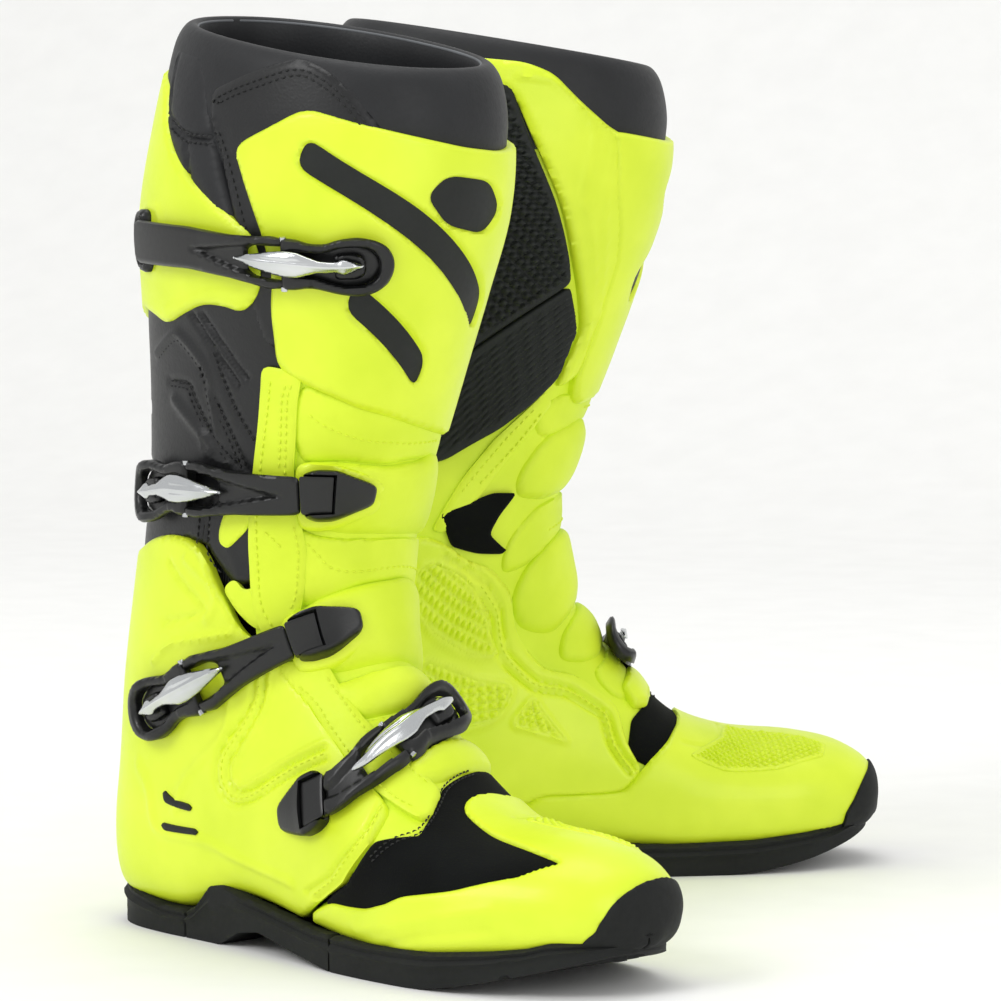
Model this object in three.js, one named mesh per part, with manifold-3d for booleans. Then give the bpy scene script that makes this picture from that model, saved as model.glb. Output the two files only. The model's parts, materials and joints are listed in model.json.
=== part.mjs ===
// Pair of riding boots. Millimetres, +Z up, +X forward between the toes, +Y to the wearer's left.
// Each boot is drawn about its own ankle (x forward, lateral side at -y) and then placed.
import * as THREE from 'three';
import Module from 'manifold-3d';

// ---------------------------------------------------------------- driving dimensions
const SIZE = 1.0;                 // overall size of the boot body, 1.0 = sole 310 mm long
const SHAFT_HEIGHT = 1.0;         // stretch of the shaft above the ankle
const BOOT_X = -71;               // ankle of each boot behind the pair's middle
const BOOT_GAP = 90.7;            // half the distance between the two ankles
const BOOT_YAW = 29.5;            // toes turned out, degrees
const LINING_IN = -8;             // inner face of the lining, offset from the drawn surface
const LINING_OUT = -4.2;           // outer face of the lining
const PANEL_IN = -3.6;            // inner face of every outer panel
const PLATE_OUT = 4.5;            // outer face of shin plate and grip panel
const CALF_OUT = 4.0;             // outer face of calf plate
const SHELL_OUT = 2.5;            // outer face of foot shell and toe cap
const VAMP_OUT = 1.0;             // outer face of suede vamp
const ANKLE_OUT = 2.2;            // outer face of ankle panel
const FLEX_OUT = 2.5;             // outer face of flex panel between its ribs
const RIB_HEIGHT = 5;             // height of the flex ribs over the front of the ankle
const COLLAR_OUT = 3.5;           // outer face of the padded collar
const SEAM = 0.35;                // gap between neighbouring panels
const SOLE_WIDTH = 51.5;           // half width of the sole at the ball
const HEEL_WIDTH = 41;            // half width of the sole at the heel
const STRAP_WIDTH = 18;           // width of the strap's plain run
const STRAP_THICK = 3;            // thickness of the strap
const RING_WIDTH = 27;            // width of the buckle frame at its ring
const LEVER_LENGTH = 52;          // length of the aluminium lever
const LEVER_WIDTH = 12;           // width of the lever's leaf
const LEVER_THICK = 3.2;          // thickness of the lever
const KEEPER_LENGTH = 31;         // length of the strap keeper
const KEEPER_WIDTH = 25;          // width of the strap keeper

// stations along the boot from toe to top: s, front (x, z), back (x, z), half width,
// place of the widest point, front and back roundness, shift towards the inner side
const STATIONS = [
  [0, 220, 27, 220, 22, 4, 0.50, 2.0, 2.0, 9],
  [12, 217, 43, 211, 18, 22, 0.55, 2.0, 3.0, 9],
  [30, 204, 54, 198, 16, 34, 0.60, 2.1, 3.5, 8],
  [55, 182, 60, 178, 14, 43, 0.62, 2.1, 4.0, 6],
  [85, 150, 63, 152, 13, 50, 0.65, 2.1, 4.0, 2],
  [115, 126, 71, 128, 13, 52, 0.66, 2.0, 4.0, 0],
  [145, 109, 85, 100, 14, 50, 0.68, 2.0, 4.0, 0],
  [170, 96, 100, 62, 16, 47, 0.66, 2.0, 4.0, 0],
  [190, 86, 114, 20, 18, 45, 0.62, 2.0, 3.8, 0],
  [210, 78, 127, -30, 22, 45, 0.58, 2.0, 3.4, 0],
  [225, 73, 140, -66, 30, 46, 0.55, 2.1, 2.6, 0],
  [240, 71, 153, -80, 60, 48, 0.52, 2.2, 2.4, 0],
  [260, 71, 168, -77, 103, 50, 0.50, 2.2, 2.3, 0],
  [280, 74, 185, -69, 145, 52, 0.50, 2.2, 2.2, 0],
  [305, 82, 210, -62, 186, 52, 0.50, 2.2, 2.2, 0],
  [335, 94, 242, -59, 228, 55, 0.50, 2.2, 2.2, 0],
  [370, 107, 277, -58, 270, 60, 0.50, 2.2, 2.2, 0],
  [410, 118, 312, -55, 313, 65, 0.50, 2.2, 2.2, 0],
  [450, 121, 342, -44, 355, 64, 0.50, 2.2, 2.2, 0],
  [480, 117, 369, -34, 393, 60, 0.50, 2.2, 2.2, 0],
];
const BODY_IN = 4.2;            // the stations trace the armour; the surface under it is this far in
const ANKLE_Z = 125;              // height of the ankle hinge line
const ROWS = [0, 12, 30, 60, 95, 128, 160, 183, 206, 235, 264, 300, 335, 400, 450, 480];
const STEP = 20;                  // angle between two lines of the lattice, degrees

const wasm = await Module();
wasm.setup();
const D2R = Math.PI / 180;

// ---------------------------------------------------------------- drawn surface
function slopeAt(k, c) {
  const n = STATIONS.length;
  const d = (i) => (STATIONS[i + 1][c] - STATIONS[i][c]) / (STATIONS[i + 1][0] - STATIONS[i][0]);
  if (k === 0) return d(0);
  if (k === n - 1) return d(n - 2);
  const a = d(k - 1);
  const b = d(k);
  if (a * b <= 0) return 0;
  const m = (a + b) / 2;
  return Math.sign(m) * Math.min(Math.abs(m), 3 * Math.min(Math.abs(a), Math.abs(b)));
}

function station(s) {
  let k = 0;
  while (k < STATIONS.length - 2 && s >= STATIONS[k + 1][0]) k += 1;
  const h = STATIONS[k + 1][0] - STATIONS[k][0];
  const t = Math.min((s - STATIONS[k][0]) / h, 1 + 20 / h);
  const out = [];
  for (let c = 1; c < 10; c += 1) {
    const a = STATIONS[k][c];
    const b = STATIONS[k + 1][c];
    const ma = slopeAt(k, c) * h;
    const mb = slopeAt(k + 1, c) * h;
    if (t > 1) out.push(b + mb * (t - 1));
    else {
      out.push((2 * t ** 3 - 3 * t ** 2 + 1) * a + (t ** 3 - 2 * t ** 2 + t) * ma
        + (-2 * t ** 3 + 3 * t ** 2) * b + (t ** 3 - t ** 2) * mb);
    }
  }
  return out;
}

// point at s along the boot and angle th round it (0 front, 90 lateral, 180 back), off outwards
function surf(s, th, outward) {
  const off = outward - BODY_IN;
  const [xf, zf, xb, zb, w, m, nf, nb, yc] = station(s);
  const len = Math.hypot(xf - xb, zf - zb);
  const fx = (xf - xb) / len;
  const fz = (zf - zb) / len;
  const c = Math.cos(th * D2R);
  const sn = Math.sin(th * D2R);
  const n = c >= 0 ? nf : nb;
  const ext = c >= 0 ? m * len + off : (1 - m) * len + off;
  const r = (Math.abs(c) ** n + Math.abs(sn) ** n) ** (-1 / n);
  const a = r * c * ext - m * len;
  let z = zf + fz * a;
  if (z > ANKLE_Z) z = ANKLE_Z + (z - ANKLE_Z) * SHAFT_HEIGHT;
  return [(xf + fx * a) * SIZE, (yc - r * sn * (w + off)) * SIZE, z * SIZE];
}

// ---------------------------------------------------------------- solids
function toManifold(geometry) {
  const pos = geometry.getAttribute('position');
  const keys = new Map();
  const verts = [];
  const remap = new Uint32Array(pos.count);
  for (let i = 0; i < pos.count; i += 1) {
    const p = [pos.getX(i), pos.getY(i), pos.getZ(i)];
    const key = p.map((v) => Math.round(v * 1e4)).join(',');
    if (!keys.has(key)) {
      keys.set(key, verts.length / 3);
      verts.push(...p);
    }
    remap[i] = keys.get(key);
  }
  const tri = [];
  const idx = geometry.index ? geometry.index.array : null;
  const count = idx ? idx.length : pos.count;
  for (let i = 0; i < count; i += 3) {
    const a = remap[idx ? idx[i] : i];
    const b = remap[idx ? idx[i + 1] : i + 1];
    const c = remap[idx ? idx[i + 2] : i + 2];
    if (a !== b && b !== c && c !== a) tri.push(a, b, c);
  }
  return new wasm.Manifold(new wasm.Mesh({
    numProp: 3, vertProperties: new Float32Array(verts), triVerts: new Uint32Array(tri),
  }));
}

function gridSolid(rings) {
  // closed body from a list of rings with the same number of points, ends capped by fans
  const n = rings[0].length;
  const verts = [];
  const tri = [];
  rings.forEach((ring) => ring.forEach((p) => verts.push(...p)));
  for (let j = 0; j < rings.length - 1; j += 1) {
    for (let i = 0; i < n; i += 1) {
      const a = j * n + i;
      const b = j * n + ((i + 1) % n);
      tri.push(a, b, b + n, a, b + n, a + n);
    }
  }
  const cap = (j, flip) => {
    const mid = [0, 1, 2].map((k) => rings[j].reduce((t, p) => t + p[k], 0) / n);
    const c = verts.length / 3;
    verts.push(...mid);
    for (let i = 0; i < n; i += 1) {
      const a = j * n + i;
      const b = j * n + ((i + 1) % n);
      if (flip) tri.push(c, b, a);
      else tri.push(c, a, b);
    }
  };
  cap(0, true);
  cap(rings.length - 1, false);
  const geometry = new THREE.BufferGeometry();
  geometry.setAttribute('position', new THREE.Float32BufferAttribute(verts, 3));
  geometry.setIndex(tri);
  const solid = toManifold(geometry);
  return solid.volume() < 0 ? toManifold(flipped(geometry)) : solid;
}

function flipped(geometry) {
  const out = geometry.clone();
  const idx = Array.from(geometry.index.array);
  for (let i = 0; i < idx.length; i += 3) {
    const t = idx[i];
    idx[i] = idx[i + 1];
    idx[i + 1] = t;
  }
  out.setIndex(idx);
  return out;
}

const lofts = new Map();
// solid inside the surface moved out by off; inner ones start behind the toe tip, one in another
function loft(off, ribs = 0, top = 480) {
  const key = [off, ribs, top].join(',');
  if (lofts.has(key)) return lofts.get(key);
  const first = off < 0 ? 12 + 2.7 * (PANEL_IN - off) : 0;
  const rows = ROWS.filter((s) => s > first);
  if (first > 0 && first < 20) rows.splice(0, 0, first, 20);
  else rows.unshift(first);
  if (top > 480) rows.push(top);
  const rings = rows.map((s) => {
    const ring = [];
    for (let th = -180; th < 180; th += STEP) ring.push(surf(s, th, off + ribs * ribShape(s, th)));
    return ring;
  });
  const solid = gridSolid(rings);
  lofts.set(key, solid);
  return solid;
}

// the two ribs over the front of the ankle, fading out round the sides
function ribShape(s, th) {
  const bump = (a, b) => (s > a && s < b ? Math.sin(Math.PI * (s - a) / (b - a)) ** 2 : 0);
  const front = Math.max(0, Math.cos(Math.min(Math.abs(th) * 1.2, 90) * D2R));
  return (bump(264, 335) + bump(206, 264) + 0.8 * bump(160, 206)) * front;
}

function sidePrism(points, y0, y1) {
  const shape = new THREE.Shape(points.map((p) => new THREE.Vector2(p[0] * SIZE, tall(p[1]) * SIZE)));
  const geometry = new THREE.ExtrudeGeometry(shape, { depth: (y1 - y0) * SIZE, bevelEnabled: false });
  geometry.rotateX(Math.PI / 2);
  geometry.translate(0, y1 * SIZE, 0);
  return toManifold(geometry);
}

function tall(z) {
  return z > ANKLE_Z ? ANKLE_Z + (z - ANKLE_Z) * SHAFT_HEIGHT : z;
}

function topPrism(points, z0, z1) {
  const shape = new THREE.Shape(points.map((p) => new THREE.Vector2(p[0] * SIZE, p[1] * SIZE)));
  const geometry = new THREE.ExtrudeGeometry(shape, { depth: (z1 - z0) * SIZE, bevelEnabled: false });
  geometry.translate(0, 0, z0 * SIZE);
  return toManifold(geometry);
}

// move every edge of an outline outwards by d
function inflate(points, d) {
  const n = points.length;
  let area = 0;
  for (let i = 0; i < n; i += 1) {
    const q = points[(i + 1) % n];
    area += points[i][0] * q[1] - q[0] * points[i][1];
  }
  const sign = Math.sign(area);
  return points.map((p, i) => {
    const a = points[(i + n - 1) % n];
    const b = points[(i + 1) % n];
    const u = [p[0] - a[0], p[1] - a[1]];
    const v = [b[0] - p[0], b[1] - p[1]];
    const lu = Math.hypot(...u);
    const lv = Math.hypot(...v);
    const n1 = [sign * u[1] / lu, -sign * u[0] / lu];
    const n2 = [sign * v[1] / lv, -sign * v[0] / lv];
    const k = d / Math.max(0.3, 1 + n1[0] * n2[0] + n1[1] * n2[1]);
    return [p[0] + (n1[0] + n2[0]) * k, p[1] + (n1[1] + n2[1]) * k];
  });
}

// ---------------------------------------------------------------- panel outlines (x, z)
const REGIONS = {
  collar: {
    out: COLLAR_OUT,
    lateral: [[150, 420], [150, 333], [122, 341], [103, 350], [86, 355], [51, 340], [59, 322],
      [66, 303], [58, 304], [52, 314], [27, 324], [8, 345], [2, 364], [-90, 374], [-90, 440]],
    medial: [[150, 420], [150, 333], [122, 341], [108, 338], [74, 343], [54, 357], [30, 358],
      [0, 366], [-90, 374], [-90, 440]],
  },
  grip_panel: {
    out: PLATE_OUT,
    medial: [[30, 358], [43, 334], [55, 311], [62, 284], [68, 252], [59, 229], [44, 219],
      [30, 208], [16, 201], [4, 196], [-12, 205], [-12, 240], [0, 300], [6, 352], [8, 366]],
  },
  calf_plate: {
    out: CALF_OUT,
    lateral: [[2, 370], [8, 345], [27, 324], [52, 314], [58, 304], [66, 303], [64, 285], [58, 271],
      [50, 271], [30, 274], [5, 264], [-16, 270], [-90, 262], [-90, 400]],
    medial: [[8, 372], [6, 352], [0, 300], [-12, 240], [-30, 256], [-90, 262], [-90, 400]],
  },
  shin_plate: {
    out: PLATE_OUT,
    lateral: [[150, 345], [122, 360], [51, 345], [59, 322], [66, 303], [67, 287], [64, 248],
      [75, 240], [86, 230], [92, 221], [150, 215]],
    medial: [[150, 345], [122, 360], [30, 366], [43, 334], [55, 311], [62, 284], [68, 252],
      [59, 229], [62, 226], [78, 221], [92, 221], [150, 215]],
  },
  vamp: {
    out: VAMP_OUT,
    lateral: [[86, -40], [87, 30], [106, 50], [120, 60], [122, 70], [113, 82], [107, 92],
      [118, 100], [127, 74], [139, 67], [160, 63], [179, 60], [195, 55], [172, 46], [152, 40],
      [120, 32], [104, 27], [104, -40]],
    medial: [[95, -40], [92, 56], [103, 60], [107, 92], [118, 100], [127, 74], [129, 70],
      [113, 62], [112, 40], [112, -40]],
  },
  toe_cap: {
    out: SHELL_OUT,
    lateral: [[100, -45], [107, 30], [127, 74], [118, 100], [260, 100], [260, -45]],
    medial: [[108, -45], [114, 40], [127, 74], [118, 100], [260, 100], [260, -45]],
  },
  foot_shell: {
    out: SHELL_OUT,
    lateral: [[-120, -40], [-120, 172], [-30, 170], [-9, 173], [8, 172], [21, 157], [30, 141],
      [38, 131], [60, 110], [86, 94], [107, 90], [122, 85], [122, -40]],
    medial: [[-120, -40], [-120, 172], [-30, 168], [-5, 158], [15, 150], [30, 140], [42, 124],
      [60, 108], [86, 94], [107, 90], [122, 85], [122, -40]],
  },
  ankle_panel: {
    out: ANKLE_OUT,
    lateral: [[-120, 160], [-120, 280], [56, 280], [62, 249], [53, 234], [48, 213], [43, 184],
      [40, 165], [38, 120], [10, 120]],
    medial: [[-120, 160], [-120, 280], [-34, 280], [-26, 240], [-28, 200], [-34, 160]],
  },
  flex_panel: {
    out: FLEX_OUT,
    lateral: [[-150, -50], [-150, 420], [250, 420], [250, -50]],
    medial: [[-150, -50], [-150, 420], [250, 420], [250, -50]],
  },
};

function cutter(region, grow) {
  let solid = null;
  const overlap = grow > 0 ? grow : 0.001;
  const add = (points, y0, y1) => {
    const part = sidePrism(grow > 0 ? inflate(points, grow) : points, y0, y1);
    solid = solid ? solid.add(part) : part;
  };
  if (region.lateral) add(region.lateral, -130, overlap);
  if (region.medial) add(region.medial, -overlap, 130);
  return solid;
}

function outerPanels() {
  const panels = {};
  let taken = null;
  const inner = loft(PANEL_IN, 0, 500);
  for (const [name, region] of Object.entries(REGIONS)) {
    const ribs = name === 'flex_panel' ? RIB_HEIGHT : 0;
    let solid = loft(region.out, ribs).intersect(cutter(region, 0));
    if (name !== 'collar') solid = solid.subtract(inner);
    if (taken) solid = solid.subtract(taken);
    panels[name] = solid;
    const grown = cutter(region, SEAM);
    taken = taken ? taken.add(grown) : grown;
  }
  return panels;
}

// ---------------------------------------------------------------- linings and footbed
function liningPart(points) {
  const hollow = loft(LINING_IN, 0, 500);
  return loft(LINING_OUT).subtract(hollow).intersect(sidePrism(points, -130, 130));
}

function collar(outer) {
  const hollow = loft(LINING_IN, 0, 500);
  const leg = liningPart([[-130, 192], [-30, 188], [20, 182], [75, 162], [160, 150], [160, 460],
    [-130, 460]]);
  return outer.subtract(hollow).add(leg);
}

function footLiner() {
  return liningPart([[-130, -30], [-130, 150], [-30, 148], [40, 118], [75, 98], [120, 84],
    [240, 84], [240, -30]]);
}

function footbed() {
  const slab = sidePrism([[-80, 0], [-66, 40], [-30, 36], [20, 33], [60, 30], [110, 27],
    [170, 28], [196, 36], [205, 0]], -100, 100);
  return loft(LINING_IN - 0.4).intersect(slab);
}

// ---------------------------------------------------------------- sole
function solePlan() {
  const b = SOLE_WIDTH;
  const h = HEEL_WIDTH;
  const lateral = [[222, 6], [218, -12], [207, -26], [191, -36], [170, -b + 6], [148, -b + 1.5],
    [120, -b], [90, -b + 1.5], [60, -b + 5.5], [30, -h - 2], [0, -h], [-30, -h + 1],
    [-54, -h + 5], [-70, -h + 14], [-78, -h + 27]];
  const medial = [[-78, h - 27], [-69, h - 13], [-54, h - 4], [-30, h], [0, h], [30, h + 1],
    [60, b - 5.5], [90, b - 0.5], [120, b + 1.5], [150, b + 2.5], [176, b + 0.5], [194, b - 5.5],
    [208, b - 14.5], [218, b - 27.5]];
  return topPrism(lateral.concat(medial), -5, 60);
}

function solePart(profile, x0, x1) {
  const body = solePlan().intersect(sidePrism(profile, -90, 90));
  const window = sidePrism([[x0, -10], [x0, 70], [x1, 70], [x1, -10]], -90, 90);
  const foot = loft(SHELL_OUT + 0.4);
  return body.intersect(window).subtract(foot).subtract(foot.translate([0.5, 0, 0]));
}

function grooves(list, y0, y1, depth) {
  let solid = null;
  list.forEach(([x, w, slant]) => {
    const p = [[x - slant, y0], [x + w - slant, y0], [x + w + slant, y1], [x + slant, y1]];
    const part = topPrism(p, -5, depth);
    solid = solid ? solid.add(part) : part;
  });
  return solid;
}

function outsoleForefoot() {
  const profile = [[80, 0], [140, 0], [165, 2.5], [190, 7], [210, 12], [232, 19], [232, 44],
    [214, 42], [205, 30], [196, 24], [150, 22], [91, 24], [80, 25]];
  let solid = solePart(profile, 91.5, 240);
  const low = topPrism([[204, -60], [204, -9], [240, -9], [240, -60]], 26, 60);
  const inside = topPrism([[190, 44], [214, 40], [240, 30], [240, 80], [190, 80]], 34, 60);
  solid = solid.subtract(low).subtract(inside);
  return solid.subtract(grooves([[104, 4, 3], [124, 4, 3], [144, 4, 3], [164, 4, 3]], -34, 34, 3));
}

function outsoleHeel() {
  const profile = [[-100, 0], [-100, 31], [-60, 30], [-13, 24], [0, 24], [0, 0]];
  const solid = solePart(profile, -100, -13.2);
  return solid.subtract(grooves([[-66, 4, 0], [-48, 4, 0], [-30, 4, 0]], -30, 30, 3));
}

function pegInsert() {
  const profile = [[-13, 0], [12, 0], [28, 7], [50, 11], [74, 8], [91, 1], [91, 24], [-13, 24]];
  return solePart(profile, -12.9, 91.2);
}

// ---------------------------------------------------------------- closures
const CLOSURES = [
  {
    base: PLATE_OUT,
    path: [[396, 119], [394, 92], [388, 64], [385, 45], [386, 24]],
    keeper: 'slot',
  },
  {
    base: FLEX_OUT,
    path: [[288, 10], [290, 28], [294, 50], [299, 72], [304, 96], [305, 128]],
    keeper: 'wedge',
  },
  {
    base: SHELL_OUT,
    path: [[226, 14], [229, 32], [235, 52], [240, 74], [244, 96], [246, 115]],
    keeper: 'wedge',
  },
  {
    base: SHELL_OUT,
    path: [[187, 85], [178, 72], [167, 57], [161, 40], [161, 20], [167, 0], [175, -22], [178, -31]],
    keeper: 'wedge',
  },
];

// walk a path given by (s, th) points; returns frames every few millimetres
function walk(path, off, ribs) {
  const dense = [];
  for (let i = 0; i < path.length - 1; i += 1) {
    for (let k = 0; k < 12; k += 1) {
      const t = k / 12;
      dense.push([0, 1].map((j) => path[i][j] * (1 - t) + path[i + 1][j] * t));
    }
  }
  dense.push(path[path.length - 1]);
  const points = dense.map((q) => surf(q[0], q[1], off));
  const run = [0];
  for (let i = 1; i < points.length; i += 1) {
    run.push(run[i - 1] + Math.hypot(...points[i].map((v, k) => v - points[i - 1][k])));
  }
  return { dense, run, off, length: run[run.length - 1], ribs };
}

function frameAt(track, dist) {
  const { dense, run, off } = track;
  let i = 0;
  while (i < run.length - 2 && run[i + 1] < dist) i += 1;
  const t = (dist - run[i]) / (run[i + 1] - run[i]);
  const s = dense[i][0] * (1 - t) + dense[i + 1][0] * t;
  const th = dense[i][1] * (1 - t) + dense[i + 1][1] * t;
  const p = new THREE.Vector3(...surf(s, th, off));
  const ps = new THREE.Vector3(...surf(s + 1, th, off)).sub(new THREE.Vector3(...surf(s - 1, th, off)));
  const pt = new THREE.Vector3(...surf(s, th + 1, off)).sub(new THREE.Vector3(...surf(s, th - 1, off)));
  ps.multiplyScalar(0.5);
  pt.multiplyScalar(0.5);
  const dir = new THREE.Vector3();
  dir.addScaledVector(ps, dense[i + 1][0] - dense[i][0]);
  dir.addScaledVector(pt, dense[i + 1][1] - dense[i][1]);
  dir.normalize();
  const normal = new THREE.Vector3().crossVectors(pt, ps).normalize();
  const mid = station(s);
  const centre = new THREE.Vector3((mid[0] + mid[2]) / 2, mid[8], (mid[1] + mid[3]) / 2);
  if (normal.dot(p.clone().sub(centre)) < 0) normal.negate();
  const across = new THREE.Vector3().crossVectors(normal, dir).normalize();
  // across = alpha ps + beta pt
  const a11 = ps.dot(ps);
  const a12 = ps.dot(pt);
  const a22 = pt.dot(pt);
  const b1 = across.dot(ps);
  const b2 = across.dot(pt);
  const det = a11 * a22 - a12 * a12;
  const alpha = (b1 * a22 - b2 * a12) / det;
  const beta = (a11 * b2 - a12 * b1) / det;
  return { s, th, p, dir, normal, across, alpha, beta };
}

// solid along a track; sections is a list of [distance, half width, low, high, ridge]
function ribbon(track, sections, plain = false) {
  const rings = sections.map(([dist, half, low, high, ridge = 0]) => {
    const f = frameAt(track, dist);
    const edge = Math.min(0.8, (high - low) * 0.35, half * 0.4);
    const up = track.ribs * ribShape(f.s, f.th);
    const corners = [[-half, low], [half, low], [half, high - edge], [half - edge, high],
      [0, high + ridge], [-half + edge, high], [-half, high - edge]];
    const box = [[-half, low], [half, low], [half, high], [-half, high]];
    const shape = ridge > 0 ? corners : corners.filter((q) => q[0] !== 0);
    const outline = (plain ? box : shape).map((q) => [q[0], q[1] + up]);
    return outline.map(([a, h]) => surf(f.s + f.alpha * a / SIZE, f.th + f.beta * a / SIZE, h / SIZE));
  });
  return gridSolid(rings);
}

function strap(track, c) {
  const lo = c.base + 4;
  const hi = lo + STRAP_THICK;
  const mid = (lo + hi) / 2;
  const w = STRAP_WIDTH / 2;
  const n = RING_WIDTH / 2;
  const end = track.length - 2;
  const start = c.keeper === 'slot' ? 1.2 : KEEPER_LENGTH + 1.2;
  const fork = end - 58;
  const sections = [[start, w - 0.5, mid - 0.2, mid + 0.2], [start + 1.6, w, lo, hi]];
  const steps = Math.max(2, Math.round((fork - start) / 20));
  for (let i = 1; i < steps; i += 1) sections.push([start + (fork - start) * i / steps, w, lo, hi]);
  sections.push([fork, w + 0.5, lo, hi], [fork + 8, n - 2, lo, hi + 1], [fork + 13, n - 1.6, lo, hi + 1]);
  sections.push([fork + 15, w + 1, lo, hi], [fork + 22, w + 0.5, lo, hi], [fork + 32, w + 1, lo, hi]);
  sections.push([fork + 40, n - 1, lo, hi], [fork + 47, n, lo, hi], [fork + 53, n - 3.5, lo, hi]);
  sections.push([end, n - 8, lo, hi]);
  let solid = ribbon(track, sections);
  const hole = [[fork + 36, 4.5, lo - 2, hi + 3], [fork + 40, 8, lo - 2, hi + 3]];
  hole.push([fork + 48, 8, lo - 2, hi + 3], [end - 5.5, 5, lo - 2, hi + 3]);
  solid = solid.subtract(ribbon(track, hole, true));
  return { solid, start, mid, end, fork };
}

function receiver(track, c, s) {
  const lo = c.base + 0.5;
  const f = s.fork;
  const base = ribbon(track, [[f + 20, 6, lo, c.base + 3.5], [f + 26, 9, lo, c.base + 3.5],
    [f + 36, 10, lo, c.base + 3.5], [f + 48, 10, lo, c.base + 3.5], [s.end - 3, 7, lo, c.base + 3.5]],
    true);
  const hook = ribbon(track, [[f + 38.5, 4, lo + 1, c.base + 6.4], [f + 42, 6, lo + 1, c.base + 6.4],
    [f + 46, 5, lo + 1, c.base + 6.4]], true);
  return base.add(hook);
}

function lever(track, c, s) {
  const lo = c.base + 4 + STRAP_THICK + 1.6;
  const hi = lo + LEVER_THICK;
  const w = LEVER_WIDTH / 2;
  const tip = s.fork + 46;
  const nose = tip - LEVER_LENGTH;
  const solid = ribbon(track, [[nose, 0.9, lo, lo + 1.4], [nose + 6, 3.6, lo, hi - 0.4, 0.6],
    [nose + 14, w, lo, hi, 0.8], [nose + 21, w - 0.2, lo, hi, 0.8], [nose + 27, 3.2, lo, hi, 0.5],
    [nose + 36, 2.2, lo, hi, 0.4], [nose + 44, 2.4, lo, hi, 0.4], [nose + 47, 4.2, lo, hi - 0.6, 0.4],
    [tip - 1.5, 1.8, lo, lo + 2], [tip, 1, lo + 0.8, lo + 1.2]]);
  return { solid, tip, lo };
}

function keeper(track, c) {
  const lo = c.base + 0.5;
  const L = KEEPER_LENGTH;
  const w = KEEPER_WIDTH / 2;
  if (c.keeper === 'slot') {
    const ring = ribbon(track, [[-9, w - 4, lo, c.base + 6], [-6, w - 0.5, lo, c.base + 6.5],
      [0.7, w, lo, c.base + 7]]);
    return ring;
  }
  const solid = ribbon(track, [[0, w - 6, lo, c.base + 3], [4, w - 2.5, lo, c.base + 5.4],
    [L * 0.5, w - 0.5, lo, c.base + 6.6], [L - 6, w, lo, c.base + 7.6], [L + 0.5, w - 1, lo, c.base + 7.6]]);
  const mouth = ribbon(track, [[L - 9, STRAP_WIDTH / 2 + 0.8, c.base + 3.4, c.base + 10],
    [L + 3, STRAP_WIDTH / 2 + 0.8, c.base + 3.4, c.base + 10]], true);
  return solid.subtract(mouth);
}

function closure(c, number, parts, joints) {
  const ribs = c.keeper === 'slot' ? 0 : RIB_HEIGHT;
  const track = walk(c.path, c.base, ribs);
  const s = strap(track, c);
  const l = lever(track, c, s);
  const seat = loft(c.base + SEAM, ribs);
  parts[`strap_${number}`] = s.solid.subtract(loft(c.base + 1.5, ribs));
  parts[`receiver_${number}`] = receiver(track, c, s).subtract(seat);
  parts[`lever_${number}`] = l.solid;
  parts[`keeper_${number}`] = keeper(track, c).subtract(seat);
  const at = (dist, off) => {
    const f = frameAt(track, dist);
    const up = ribs * ribShape(f.s, f.th);
    return { pos: surf(f.s, f.th, (off + up) / SIZE), axis: f.across.toArray() };
  };
  joints[`strap_${number}`] = at(s.start, s.mid);
  joints[`lever_${number}`] = at(l.tip, l.lo + 1);
}

// ---------------------------------------------------------------- materials
const LOOKS = {
  yellow: { color: 0xdcf01e, roughness: 0.45, metalness: 0 },
  flex: { color: 0xd2e81c, roughness: 0.55, metalness: 0 },
  black: { color: 0x2c2d2f, roughness: 0.6, metalness: 0 },
  suede: { color: 0x1f2422, roughness: 0.95, metalness: 0 },
  rubber: { color: 0x1c1f1e, roughness: 0.85, metalness: 0 },
  knit: { color: 0x262729, roughness: 1.0, metalness: 0 },
  foam: { color: 0x3a3b3d, roughness: 1.0, metalness: 0 },
  plastic: { color: 0x1e1f21, roughness: 0.4, metalness: 0 },
  metal: { color: 0xd4d7da, roughness: 0.25, metalness: 1 },
};
const LOOK_OF = {
  collar: 'knit', grip_panel: 'rubber', calf_plate: 'yellow', shin_plate: 'yellow', vamp: 'suede',
  toe_cap: 'yellow', foot_shell: 'yellow', ankle_panel: 'black', flex_panel: 'flex',
  foot_liner: 'knit', footbed: 'foam', outsole_forefoot: 'rubber', outsole_heel: 'rubber',
  peg_insert: 'plastic',
};

function lookFor(name) {
  if (LOOK_OF[name]) return LOOKS[LOOK_OF[name]];
  return name.startsWith('lever') ? LOOKS.metal : LOOKS.plastic;
}

// ---------------------------------------------------------------- one boot
function bootParts() {
  const parts = {};
  const joints = {};
  const panels = outerPanels();
  parts.collar = collar(panels.collar);
  for (const name of Object.keys(REGIONS)) {
    if (name !== 'collar') parts[name] = panels[name];
  }
  parts.foot_liner = footLiner();
  parts.footbed = footbed();
  parts.outsole_forefoot = outsoleForefoot();
  parts.outsole_heel = outsoleHeel();
  parts.peg_insert = pegInsert();
  CLOSURES.forEach((c, i) => closure(c, i + 1, parts, joints));
  joints.ankle = { pos: [0, 0, ANKLE_Z * SIZE], axis: [0, 1, 0] };
  return { parts, joints };
}

function biggestBody(solid) {
  const bodies = solid.decompose();
  bodies.sort((a, b) => b.volume() - a.volume());
  return bodies[0];
}

function place(p, left) {
  const y = left ? -p[1] : p[1];
  const a = (left ? BOOT_YAW : -BOOT_YAW) * D2R;
  return [
    p[0] * Math.cos(a) - y * Math.sin(a) + BOOT_X,
    p[0] * Math.sin(a) + y * Math.cos(a) + (left ? BOOT_GAP : -BOOT_GAP),
    p[2],
  ];
}

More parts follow.
